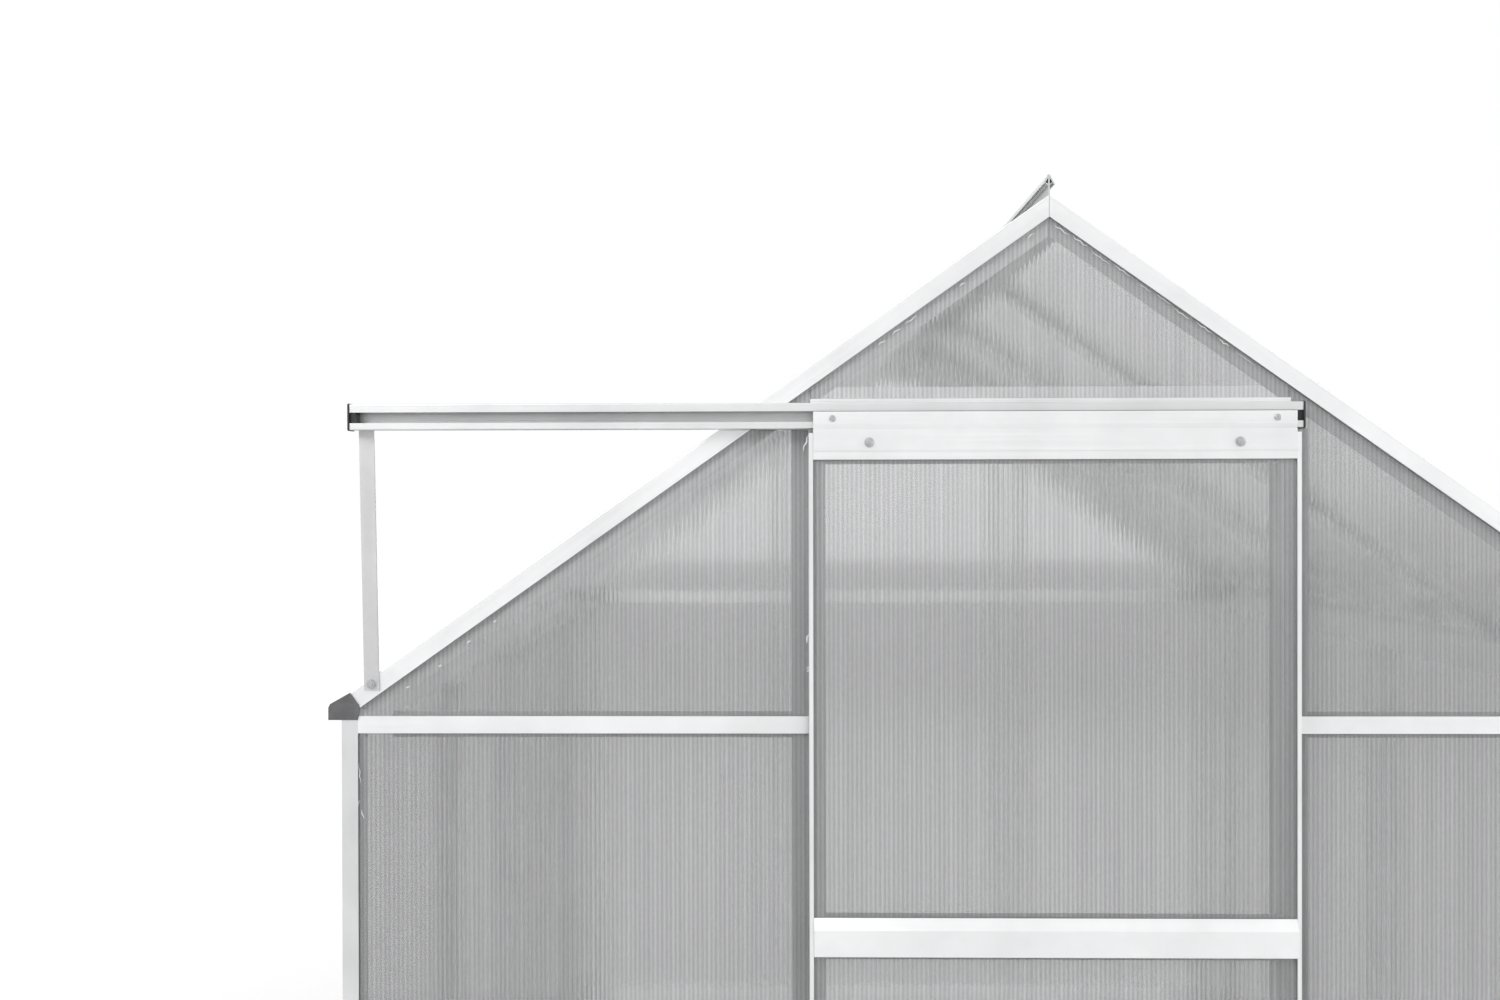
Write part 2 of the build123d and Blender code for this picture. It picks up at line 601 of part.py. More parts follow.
LOWER_SHEET_FOOT = SILL_SEAT + JOINT_GAP
LOWER_SHEET_TOP = GABLE_BAR_Z - BAR_WALL / 2 - JOINT_GAP
UPPER_SHEET_FOOT = GABLE_BAR_Z + BAR_WALL / 2 + JOINT_GAP
SHEET_DEPTH = FLANGE_BACK + JOINT_GAP
UPPER_SHEET_EDGE = HALF_WIDTH - CAP_TOE


def lower_sheet(x0, x1):
    return gable_sheet(
        (x0, LOWER_SHEET_FOOT), (x1, LOWER_SHEET_FOOT), (x1, LOWER_SHEET_TOP), (x0, LOWER_SHEET_TOP)
    )


def front_upper_sheet():
    """Left sheet over the eave bar, notched round the end of the header."""
    edge = -HALF_DOORWAY - BAR_WALL - JOINT_GAP
    shoulder = -HALF_HEADER - JOINT_GAP
    return gable_sheet(
        (-UPPER_SHEET_EDGE, UPPER_SHEET_FOOT), (edge, UPPER_SHEET_FOOT),
        (edge, DOORWAY_HEIGHT - JOINT_GAP), (shoulder, DOORWAY_HEIGHT - JOINT_GAP),
        (shoulder, roof_z(shoulder, SHEET_DEPTH)),
        (-UPPER_SHEET_EDGE, roof_z(UPPER_SHEET_EDGE, SHEET_DEPTH)),
    )


def apex_sheet():
    foot = DOORWAY_HEIGHT + HEADER_SEAT + JOINT_GAP
    corner = roof_z(HALF_HEADER, SHEET_DEPTH)
    return gable_sheet(
        (-HALF_HEADER, foot), (HALF_HEADER, foot), (HALF_HEADER, corner),
        (0, roof_z(0, SHEET_DEPTH)), (-HALF_HEADER, corner),
    )


def back_upper_sheet():
    """Left sheet over the eave bar of the back gable. Built on the front wall."""
    edge = -BACK_STUD_OFFSET - STUD_WEB / 2 - JOINT_GAP
    return gable_sheet(
        (-UPPER_SHEET_EDGE, UPPER_SHEET_FOOT), (edge, UPPER_SHEET_FOOT),
        (edge, roof_z(edge, SHEET_DEPTH)),
        (-UPPER_SHEET_EDGE, roof_z(UPPER_SHEET_EDGE, SHEET_DEPTH)),
    )


def back_apex_sheet():
    edge = BACK_STUD_OFFSET - STUD_WEB / 2 - JOINT_GAP
    return gable_sheet(
        (-edge, UPPER_SHEET_FOOT), (edge, UPPER_SHEET_FOOT), (edge, roof_z(edge, SHEET_DEPTH)),
        (0, roof_z(0, SHEET_DEPTH)), (-edge, roof_z(edge, SHEET_DEPTH)),
    )


def sheet_edges(bay):
    """Y of a bay sheet's two edges, in the grooves of the bars beside it."""
    y0, y1 = bay_edges(bay)
    y0 += FLANGE_BACK if bay == 0 else STUD_WEB / 2
    y1 -= FLANGE_BACK if bay == BAYS - 1 else STUD_WEB / 2
    return y0 + JOINT_GAP, y1 - JOINT_GAP


def side_sheet(bay):
    y0, y1 = sheet_edges(bay)
    x0 = -HALF_WIDTH + BAR_WALL + SHEET_FIT
    return block(x0, x0 + SHEET, y0, y1, LOWER_SHEET_FOOT, EAVE_HEIGHT - JOINT_GAP)


def roof_sheet(bay, vent_bay):
    """A sheet of the left slope, from the ridge, or from the cross bar under a vent."""
    start = VENT_BAR + BAR_WALL / 2 + JOINT_GAP if bay == vent_bay else SHEET_TOP_GAP
    depth = BAR_WALL + SHEET_FIT
    return run_slope(plate(depth, depth + SHEET, *sheet_edges(bay)), start, SHEET_END)


# Door rail and guide
def front_plate(out0, out1, z0, z1):
    """A rectangle of a section that stands out ahead of the front wall."""
    return plate(-out1, -out0, z0, z1)


def door_rail():
    """Open channel that the door hangs in, slotted along its front, with a rib on its back wall."""
    top = RAIL_Z + RAIL_HEIGHT
    rib_z = RAIL_Z + RAIL_RIB_RISE
    rib_back = RAIL_BACK + BAR_WALL
    section = front_plate(RAIL_BACK, rib_back, RAIL_Z, top)
    section += front_plate(rib_back, rib_back + RAIL_RIB_DEPTH, rib_z, rib_z + RAIL_RIB_HEIGHT)
    section += front_plate(RAIL_BACK, RAIL_FRONT, RAIL_Z, RAIL_Z + BAR_WALL)
    section += front_plate(RAIL_BACK, RAIL_FRONT, top - BAR_WALL, top)
    section += front_plate(RAIL_FRONT - BAR_WALL, RAIL_FRONT, RAIL_Z, RAIL_Z + RAIL_LOWER_LIP)
    section += front_plate(RAIL_FRONT - BAR_WALL, RAIL_FRONT, top - RAIL_UPPER_LIP, top)
    section = rounded(section, EDGE_ROUND, (-RAIL_FRONT, RAIL_Z), (-RAIL_FRONT, top))
    return run_x(section, -RAIL_LEFT_REACH, RAIL_RIGHT_REACH)


def rail_cap(end_x, inward):
    """Plastic plug in one end of the rail, with a rim a little larger than the rail."""
    inset = BAR_WALL + SHEET_FIT
    low = RAIL_Z - RAIL_CAP_RIM
    high = RAIL_Z + RAIL_HEIGHT + RAIL_CAP_RIM
    back = RAIL_BACK - RAIL_CAP_RIM
    front = RAIL_FRONT + RAIL_CAP_RIM
    cover = front_plate(back, front, low, high)
    cover = rounded(cover, RAIL_CAP_ROUND, (-front, low), (-front, high), (-back, low), (-back, high))
    plug_top = RAIL_Z + RAIL_HEIGHT - inset
    plug = front_plate(RAIL_BACK + RAIL_RIB_DEPTH + inset, RAIL_FRONT - inset, RAIL_Z + inset, plug_top)
    x0, x1 = sorted((end_x, end_x - inward * CAP_PLATE))
    cap = run_x(cover, x0, x1)
    x0, x1 = sorted((end_x, end_x + inward * RAIL_CAP_PLUG))
    return cap + run_x(plug, x0, x1)


def rail_strut():
    """Flat bar from the gable rafter's foot up to the free end of the rail."""
    head_x = STRUT_HEAD_INSET - RAIL_LEFT_REACH
    foot_x = head_x + STRUT_LEAN
    head_z = RAIL_Z + RAIL_HEIGHT
    foot_z = roof_z(foot_x, 0) - STRUT_FOOT_DROP
    half = STRUT_WIDTH / 2
    face = outline(
        (foot_x - half, foot_z), (foot_x + half, foot_z), (head_x + half, head_z), (head_x - half, head_z)
    )
    return run_y(face, FRONT_Y - STRUT_THICKNESS, FRONT_Y)


def guide_track():
    """Channel on the ground, fixed to the sill, that keeps the foot of the door in line."""
    inner = LEAF_FLANGE_BACK - TRACK_GAP
    outer = LEAF_FRONT + TRACK_GAP
    section = front_plate(0, BAR_WALL, 0, TRACK_PLATE)
    section += front_plate(0, outer + BAR_WALL, 0, BAR_WALL)
    section += front_plate(inner - BAR_WALL, inner, 0, TRACK_LIP)
    section += front_plate(outer, outer + BAR_WALL, 0, TRACK_LIP)
    return run_x(section, -RAIL_LEFT_REACH, RAIL_RIGHT_REACH)


# Door leaf
STILE_TOP = RAIL_Z - RUNNING_GAP
TOP_RAIL_TOP = DOORWAY_HEIGHT + TOP_RAIL_LIFT
TOP_RAIL_FOOT = TOP_RAIL_TOP - TOP_RAIL_HEIGHT
LIP_EDGE = HALF_DOOR - STILE_LIP - JOINT_GAP
FLANGE_EDGE = HALF_DOOR - STILE_FLANGE - JOINT_GAP


def door_stile():
    """Left stile. A narrow lip shows in front of the sheet, a wide flange lies behind it."""
    def across(x0, x1, out0, out1):
        return plate(x0 - HALF_DOOR, x1 - HALF_DOOR, FRONT_Y - out1, FRONT_Y - out0)

    section = across(0, BAR_WALL, LEAF_BACK, LEAF_FRONT)
    section += across(0, STILE_LIP, LEAF_FRONT - BAR_WALL, LEAF_FRONT)
    section += across(0, STILE_FLANGE, LEAF_FLANGE_BACK, LEAF_FLANGE_FRONT)
    section += across(0, STILE_RETURN, LEAF_BACK, LEAF_BACK + BAR_WALL)
    section = rounded(section, LIP_ROUND, (-HALF_DOOR, FRONT_Y - LEAF_FRONT))
    return run_z(section, LEAF_FOOT, STILE_TOP)


def door_top_rail():
    """Hanger plate with a fine groove and a leaning strip along it. Its lower edge grips the upper sheet."""
    back = LEAF_FRONT - BAR_WALL
    face = LEAF_FRONT + TOP_RAIL_STEP
    groove_foot = TOP_RAIL_FOOT + TOP_RAIL_LOWER_BAND
    fall_top = TOP_RAIL_TOP - TOP_RAIL_UPPER_BAND
    fall_foot = fall_top - TOP_RAIL_FALL
    seat = TOP_RAIL_FOOT + TOP_RAIL_SEAT
    skin = outline(
        (-back, TOP_RAIL_FOOT), (-face, TOP_RAIL_FOOT), (-face, fall_foot),
        (TOP_RAIL_FALL_DEPTH - face, fall_foot), (-face, fall_top), (-face, TOP_RAIL_TOP),
        (-back, TOP_RAIL_TOP),
    )
    skin -= front_plate(LEAF_FRONT, face + CUT_OVERRUN, groove_foot, groove_foot + TOP_RAIL_GROOVE)
    skin = rounded(skin, LIP_ROUND, (-face, TOP_RAIL_FOOT), (-face, TOP_RAIL_TOP))
    core = front_plate(LEAF_FLANGE_BACK, back, seat - BAR_WALL, seat)
    core += front_plate(LEAF_FLANGE_BACK, LEAF_FLANGE_FRONT, TOP_RAIL_FOOT - LEAF_LAP, seat)
    return run_x(skin, -LIP_EDGE, LIP_EDGE) + run_x(core, -FLANGE_EDGE, FLANGE_EDGE)


def door_mid_rail():
    """Grip rail with a sloping top. Grooves above and below hold the two sheets."""
    top = MID_RAIL_FOOT + MID_RAIL_HEIGHT
    shoulder = top - MID_RAIL_SLOPE_HEIGHT
    back = LEAF_FRONT - BAR_WALL
    middle = MID_RAIL_FOOT + MID_RAIL_HEIGHT / 2
    grip = -back - MID_RAIL_REACH
    skin = outline((-back, MID_RAIL_FOOT), (grip, MID_RAIL_FOOT), (grip, shoulder), (-back, top))
    skin = rounded(skin, EDGE_ROUND, (grip, MID_RAIL_FOOT), (grip, shoulder))
    core = front_plate(LEAF_FLANGE_BACK, back, middle - BAR_WALL / 2, middle + BAR_WALL / 2)
    core += front_plate(LEAF_FLANGE_BACK, LEAF_FLANGE_FRONT, MID_RAIL_FOOT - LEAF_LAP, top + LEAF_LAP)
    return run_x(skin, -LIP_EDGE, LIP_EDGE) + run_x(core, -FLANGE_EDGE, FLANGE_EDGE)


def door_bottom_rail():
    """Kick rail. The tongue under it runs in the guide track."""
    back = LEAF_FRONT - BAR_WALL
    skin = front_plate(back, LEAF_FRONT, BOTTOM_RAIL_TONGUE, BOTTOM_RAIL_TOP)
    core = front_plate(LEAF_BACK, back, BOTTOM_RAIL_SEAT - BAR_WALL, BOTTOM_RAIL_SEAT)
    core += front_plate(LEAF_BACK, LEAF_BACK + BAR_WALL, LEAF_FOOT, BOTTOM_RAIL_SEAT)
    core += front_plate(LEAF_BACK, back, LEAF_FOOT, LEAF_FOOT + BAR_WALL)
    core += front_plate(
        LEAF_FLANGE_BACK, LEAF_FLANGE_FRONT, BOTTOM_RAIL_TONGUE, BOTTOM_RAIL_TOP + LEAF_LAP
    )
    return run_x(skin, -LIP_EDGE, LIP_EDGE) + run_x(core, -FLANGE_EDGE, FLANGE_EDGE)


def door_sheet(foot, top):
    edge = HALF_DOOR - BAR_WALL - JOINT_GAP
    y0 = FRONT_Y - LEAF_SHEET_FRONT
    return block(-edge, edge, y0, y0 + SHEET, foot + JOINT_GAP, top - JOINT_GAP)


def door_roller():
    """Left wheel and its axle, which reaches forward through the rail's slot to the top rail."""
    back = RAIL_BACK + BAR_WALL + WHEEL_BACK_GAP
    front = back + WHEEL_WIDTH
    rim = WHEEL_RADIUS - WHEEL_CHAMFER
    profile = outline(
        (0, back), (rim, back), (WHEEL_RADIUS, back + WHEEL_CHAMFER),
        (WHEEL_RADIUS, front - WHEEL_CHAMFER), (rim, front), (AXLE_RADIUS, front),
        (AXLE_RADIUS, LEAF_FRONT - BAR_WALL), (0, LEAF_FRONT - BAR_WALL),
    )
    height = RAIL_Z + BAR_WALL + WHEEL_LIFT + WHEEL_RADIUS
    centre = Plane((WHEEL_INSET - HALF_DOOR, FRONT_Y, height), x_dir=(1, 0, 0), z_dir=(0, 0, 1))
    turned = mirror(profile, about=Plane.XZ)
    axis = Axis((WHEEL_INSET - HALF_DOOR, FRONT_Y, height), (0, -1, 0))
    return revolve(centre * turned, axis=axis)


# Assembly
def frame_nodes():
    jamb_inner = JAMB_EDGE + JAMB_LAP
    bar_inner = POST_INNER_EDGE - GABLE_BAR_TRIM
    stud_edge = BACK_STUD_OFFSET + STUD_COVER / 2
    stud_inner = stud_edge + STUD_LAP
    centre_edge = BACK_STUD_OFFSET - STUD_COVER / 2
    centre_inner = centre_edge - STUD_LAP
    back_bar = gable_bar(-POST_EDGE, -stud_edge, -bar_inner, -stud_inner)
    centre_bar = gable_bar(-centre_edge, centre_edge, -centre_inner, centre_inner)
    foot_edge = HALF_WIDTH - SILL_FOOT - JOINT_GAP
    back_sill = gable_sill(
        -POST_EDGE, POST_EDGE, -POST_INNER_EDGE, POST_INNER_EDGE, -foot_edge, foot_edge
    )
    back_web = STUD_WEB / 2 + JOINT_GAP
    lower_left = lower_sheet(JOINT_GAP - POST_GROOVE, -HALF_DOORWAY - BAR_WALL - JOINT_GAP)
    back_lower_left = lower_sheet(JOINT_GAP - POST_GROOVE, -BACK_STUD_OFFSET - back_web)
    back_lower_centre = lower_sheet(back_web - BACK_STUD_OFFSET, BACK_STUD_OFFSET - back_web)
    caps = both_sides(gutter_cap())
    bays = range(BAYS)
    studs = [wall_stud(y) for y in RUNNERS]
    rafters = [roof_rafter(y) for y in RUNNERS]
    side_sheets = [side_sheet(n) for n in bays]
    return {
        "base_sill_front": both_sides(front_sill()),
        "base_sill_back": [to_back(back_sill)],
        "base_sill_left": [side_sill()],
        "base_sill_right": [to_right(side_sill())],
        "door_threshold": [threshold()],
        "corner_posts_front": both_sides(corner_post()),
        "corner_posts_back": [to_back(post) for post in both_sides(corner_post())],
        "wall_studs_left": studs,
        "wall_studs_right": [to_right(stud) for stud in studs],
        "door_jambs": both_sides(door_jamb()),
        "door_header": [header()],
        "gable_studs_back": [to_back(stud) for stud in both_sides(back_stud())],
        "gable_bars_front": both_sides(gable_bar(-POST_EDGE, -JAMB_EDGE, -bar_inner, -jamb_inner)),
        "gable_bars_back": [to_back(bar) for bar in (*both_sides(back_bar), centre_bar)],
        "gable_rafter_front_left": [gable_rafter()],
        "gable_rafter_front_right": [to_right(gable_rafter())],
        "gable_rafters_back": [to_back(rafter) for rafter in both_sides(gable_rafter())],
        "ridge_beam": [ridge()],
        "eave_gutter_left": [gutter()],
        "eave_gutter_right": [to_right(gutter())],
        "gutter_end_caps": [*caps, *(to_back(cap) for cap in caps)],
        "roof_rafters_left": rafters,
        "roof_rafters_right": [to_right(rafter) for rafter in rafters],
        "vent_cross_bars": [
            vent_cross_bar(LEFT_VENT_BAY_INDEX), to_right(vent_cross_bar(RIGHT_VENT_BAY_INDEX))
        ],
        "vent_frames": [vent_frame(LEFT_VENT_BAY_INDEX), to_right(vent_frame(RIGHT_VENT_BAY_INDEX))],
        "vent_sheets": [vent_sheet(LEFT_VENT_BAY_INDEX), to_right(vent_sheet(RIGHT_VENT_BAY_INDEX))],
        "front_sheets_lower": both_sides(lower_left),
        "front_sheets_upper": both_sides(front_upper_sheet()),
        "front_sheet_apex": [apex_sheet()],
        "back_sheets_lower": [to_back(s) for s in (*both_sides(back_lower_left), back_lower_centre)],
        "back_sheets_upper": [to_back(s) for s in (*both_sides(back_upper_sheet()), back_apex_sheet())],
        "side_sheets_left": side_sheets,
        "side_sheets_right": [to_right(sheet) for sheet in side_sheets],
        "roof_sheets_left": [roof_sheet(n, LEFT_VENT_BAY_INDEX) for n in bays],
        "roof_sheets_right": [to_right(roof_sheet(n, RIGHT_VENT_BAY_INDEX)) for n in bays],
        "door_rail": [door_rail()],
        "rail_end_caps": [rail_cap(-RAIL_LEFT_REACH, 1), rail_cap(RAIL_RIGHT_REACH, -1)],
        "rail_strut": [rail_strut()],
        "door_guide_track": [guide_track()],
    }


def door_nodes():
    mid_web = MID_RAIL_FOOT + MID_RAIL_HEIGHT / 2
    upper = door_sheet(mid_web + BAR_WALL / 2, TOP_RAIL_FOOT + TOP_RAIL_SEAT - BAR_WALL)
    lower = door_sheet(BOTTOM_RAIL_SEAT, mid_web - BAR_WALL / 2)
    return {
        "door_stiles": both_sides(door_stile()),
        "door_top_rail": [door_top_rail()],
        "door_mid_rail": [door_mid_rail()],
        "door_bottom_rail": [door_bottom_rail()],
        "door_sheets": [upper, lower],
        "door_rollers": both_sides(door_roller()),
    }


def main():
    os.makedirs("parts", exist_ok=True)
    for name, shapes in {**frame_nodes(), **door_nodes()}.items():
        solids = [solid for shape in shapes for solid in shape.solids()]
        whole = solids[0] if len(solids) == 1 else Compound(children=solids)
        whole.label = name
        export_step(whole, f"parts/{name}.step")


main()
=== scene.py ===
import math
import random

import bpy
from mathutils import Matrix, Vector


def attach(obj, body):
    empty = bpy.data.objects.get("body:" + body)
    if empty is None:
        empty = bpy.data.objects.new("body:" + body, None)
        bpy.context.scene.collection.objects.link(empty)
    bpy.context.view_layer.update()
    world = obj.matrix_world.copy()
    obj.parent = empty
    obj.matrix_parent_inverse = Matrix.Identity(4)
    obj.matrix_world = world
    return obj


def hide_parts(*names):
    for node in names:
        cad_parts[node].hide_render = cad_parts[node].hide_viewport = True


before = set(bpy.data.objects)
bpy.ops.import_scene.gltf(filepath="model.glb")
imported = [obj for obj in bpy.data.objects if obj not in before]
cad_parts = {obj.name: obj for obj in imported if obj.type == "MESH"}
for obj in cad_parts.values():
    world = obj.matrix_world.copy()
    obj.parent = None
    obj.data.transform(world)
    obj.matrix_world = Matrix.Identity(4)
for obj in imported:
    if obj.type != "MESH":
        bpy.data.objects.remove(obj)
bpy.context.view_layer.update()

bpy.ops.object.select_all(action="DESELECT")

# Base sills and threshold: extruded aluminium bars that the house stands on, mitred at the corners
# and bolted down through their feet. Mill finish: bright, with fine die lines along each bar.
def group_socket(group, name, way, kind, value=None):
    socket = group.interface.new_socket(name=name, in_out=way, socket_type=kind)
    if value is not None:
        socket.default_value = value


def drawn_lines_group():
    group = bpy.data.node_groups.new("drawn_lines", "ShaderNodeTree")
    group_socket(group, "Place", "INPUT", "NodeSocketVector")
    group_socket(group, "Lines", "INPUT", "NodeSocketFloat", 700.0)
    group_socket(group, "Smears", "INPUT", "NodeSocketFloat", 5.0)
    group_socket(group, "Line", "OUTPUT", "NodeSocketFloat")
    group_socket(group, "Smear", "OUTPUT", "NodeSocketFloat")
    nodes, link = group.nodes, group.links.new
    given, result = nodes.new("NodeGroupInput"), nodes.new("NodeGroupOutput")
    across = nodes.new("ShaderNodeCombineXYZ")
    across.inputs["X"].default_value = 2.5
    link(given.outputs["Lines"], across.inputs["Y"])
    link(given.outputs["Lines"], across.inputs["Z"])
    stretch = nodes.new("ShaderNodeVectorMath")
    stretch.operation = "MULTIPLY"
    link(given.outputs["Place"], stretch.inputs[0])
    link(across.outputs["Vector"], stretch.inputs[1])
    line = nodes.new("ShaderNodeTexNoise")
    line.inputs["Scale"].default_value = 1.0
    line.inputs["Detail"].default_value = 3.0
    line.inputs["Roughness"].default_value = 0.65
    link(stretch.outputs["Vector"], line.inputs["Vector"])
    smear = nodes.new("ShaderNodeTexNoise")
    smear.inputs["Detail"].default_value = 4.0
    smear.inputs["Roughness"].default_value = 0.6
    link(given.outputs["Place"], smear.inputs["Vector"])
    link(given.outputs["Smears"], smear.inputs["Scale"])
    link(line.outputs["Fac"], result.inputs["Line"])
    link(smear.outputs["Fac"], result.inputs["Smear"])
    return group


drawn_lines = drawn_lines_group()
PLAIN_BRIGHT = (0.86, 0.865, 0.87, 1)
PLAIN_DULL = (0.72, 0.725, 0.735, 1)
# Colour for the flanges behind the sheets: painted shade.
PAINTED_SHADE_BEHIND = (0.43, 0.435, 0.44, 1)


def mill_finish(name, turn, bright=PLAIN_BRIGHT, dull=PLAIN_DULL, inside=None, shade_behind_colour=PAINTED_SHADE_BEHIND):
    finish = bpy.data.materials.new(name)
    finish.use_nodes = True
    nodes, link = finish.node_tree.nodes, finish.node_tree.links.new
    metal = nodes["Principled BSDF"]
    metal.inputs["Metallic"].default_value = 1.0
    place = nodes.new("ShaderNodeTexCoord")
    along = nodes.new("ShaderNodeMapping")
    along.inputs["Rotation"].default_value = turn
    link(place.outputs["Object"], along.inputs["Vector"])
    lines = nodes.new("ShaderNodeGroup")
    lines.node_tree = drawn_lines
    lines.inputs["Lines"].default_value = 650.0
    lines.inputs["Smears"].default_value = 6.0
    link(along.outputs["Vector"], lines.inputs["Place"])
    share = nodes.new("ShaderNodeMapRange")
    share.inputs["From Min"].default_value = 0.35
    share.inputs["From Max"].default_value = 0.75
    link(lines.outputs["Smear"], share.inputs["Value"])
    colour = nodes.new("ShaderNodeMix")
    colour.data_type = "RGBA"
    colour.inputs["A"].default_value = bright
    colour.inputs["B"].default_value = dull
    link(share.outputs["Result"], colour.inputs["Factor"])
    shown = colour
    # Faces past the Y given as inside, behind the sheets, are painted darker: painted shade.
    if inside is not None:
        depth = nodes.new("ShaderNodeSeparateXYZ")
        link(place.outputs["Object"], depth.inputs["Vector"])
        behind = nodes.new("ShaderNodeMapRange")
        behind.inputs["From Min"].default_value = inside
        behind.inputs["From Max"].default_value = inside + 0.001
        link(depth.outputs["Y"], behind.inputs["Value"])
        shown = nodes.new("ShaderNodeMix")
        shown.data_type = "RGBA"
        shown.inputs["B"].default_value = shade_behind_colour
        link(behind.outputs["Result"], shown.inputs["Factor"])
        link(colour.outputs["Result"], shown.inputs["A"])
    link(shown.outputs["Result"], metal.inputs["Base Color"])
    rough = nodes.new("ShaderNodeMapRange")
    rough.inputs["To Min"].default_value = 0.30
    rough.inputs["To Max"].default_value = 0.56
    link(lines.outputs["Line"], rough.inputs["Value"])
    link(rough.outputs["Result"], metal.inputs["Roughness"])
    relief = nodes.new("ShaderNodeBump")
    relief.inputs["Strength"].default_value = 0.25
    relief.inputs["Distance"].default_value = 0.0003
    link(lines.outputs["Line"], relief.inputs["Height"])
    link(relief.outputs["Normal"], metal.inputs["Normal"])
    return finish


def dress(finish, *names):
    for name in names:
        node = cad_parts[name]
        node.data.materials.clear()
        node.data.materials.append(finish)


QUARTER = math.pi / 2
ALONG_X = (0, 0, 0)
ALONG_Y = (0, 0, QUARTER)
# The bars that lie across get a lighter copy of the aluminium finish: painted light.
ACROSS_BRIGHT = (0.91, 0.915, 0.92, 1)
ACROSS_DULL = (0.79, 0.795, 0.80, 1)
bars_across = mill_finish("aluminium_bars_across", ALONG_X, ACROSS_BRIGHT, ACROSS_DULL)
bars_lengthwise = mill_finish("aluminium_bars_lengthwise", ALONG_Y)
dress(bars_across, "base_sill_front", "base_sill_back", "door_threshold")
dress(bars_lengthwise, "base_sill_left", "base_sill_right")

# Posts, studs and door jambs: upright aluminium extrusions with grooves for the sheets, bolted to
# the sills below and to the gutters and gable bars above. They get a darker copy of the aluminium
# finish as painted shade, and the flanges behind the front sheets are painted darker still as painted
# shade.
FRONT = -1.21925
BEHIND_PANE = FRONT + 0.0045
UPRIGHT = (0, QUARTER, 0)
UPRIGHT_BRIGHT = (0.745, 0.75, 0.755, 1)
UPRIGHT_DULL = (0.62, 0.625, 0.63, 1)
bars_upright = mill_finish("aluminium_bars_upright", UPRIGHT, UPRIGHT_BRIGHT, UPRIGHT_DULL)
front_upright = mill_finish("aluminium_front_upright", UPRIGHT, UPRIGHT_BRIGHT, UPRIGHT_DULL, BEHIND_PANE)
dress(bars_upright, "corner_posts_back", "wall_studs_left", "wall_studs_right", "gable_studs_back")
dress(front_upright, "corner_posts_front", "door_jambs")

# Gable bars and door header: aluminium extrusions across the gables at eave height and over the
# doorway, screwed to the posts, jambs and studs.
# The front gable bars' flanges behind the sheets are painted darker: painted shade.
front_across = mill_finish("aluminium_front_across", ALONG_X, ACROSS_BRIGHT, ACROSS_DULL, BEHIND_PANE)
dress(bars_across, "gable_bars_back", "door_header")
dress(front_across, "gable_bars_front")

# Gable rafters and roof rafters: sloping aluminium extrusions from the eaves to the ridge, bolted at
# both ends. The die lines follow the slope.
PITCH = math.radians(35.3)
UP_FROM_LEFT = (0, PITCH, 0)
UP_FROM_RIGHT = (0, -PITCH, 0)
bars_left_slope = mill_finish("aluminium_bars_left_slope", UP_FROM_LEFT)
bars_right_slope = mill_finish("aluminium_bars_right_slope", UP_FROM_RIGHT)
# The front gable rafters get a lighter copy of the finish as painted light. Their flanges behind the
# sheets are painted darker as painted shade, half as dark on the left rafter.
BARGE_BRIGHT = (0.895, 0.90, 0.905, 1)
BARGE_DULL = (0.775, 0.78, 0.785, 1)
HALF_PAINTED_SHADE = (0.58, 0.585, 0.59, 1)
front_left_slope = mill_finish(
    "aluminium_front_left_slope", UP_FROM_LEFT, BARGE_BRIGHT, BARGE_DULL, BEHIND_PANE, HALF_PAINTED_SHADE)
front_right_slope = mill_finish(
    "aluminium_front_right_slope", UP_FROM_RIGHT, BARGE_BRIGHT, BARGE_DULL, BEHIND_PANE)
dress(front_left_slope, "gable_rafter_front_left")
dress(front_right_slope, "gable_rafter_front_right")
dress(bars_left_slope, "roof_rafters_left")
dress(bars_right_slope, "roof_rafters_right", "gable_rafters_back")

# Ridge beam, gutters, vent bars and vent frames: aluminium extrusions along the house, bolted to the
# rafters and posts. The ridge's head is the hinge of the vents; the ridge gets a much darker copy of the
# finish as painted shade.
RIDGE_BRIGHT = (0.62, 0.625, 0.63, 1)
RIDGE_DULL = (0.45, 0.455, 0.46, 1)
ridge_metal = mill_finish("aluminium_ridge", ALONG_Y, RIDGE_BRIGHT, RIDGE_DULL)
dress(ridge_metal, "ridge_beam")
dress(bars_lengthwise, "eave_gutter_left", "eave_gutter_right", "vent_cross_bars", "vent_frames")

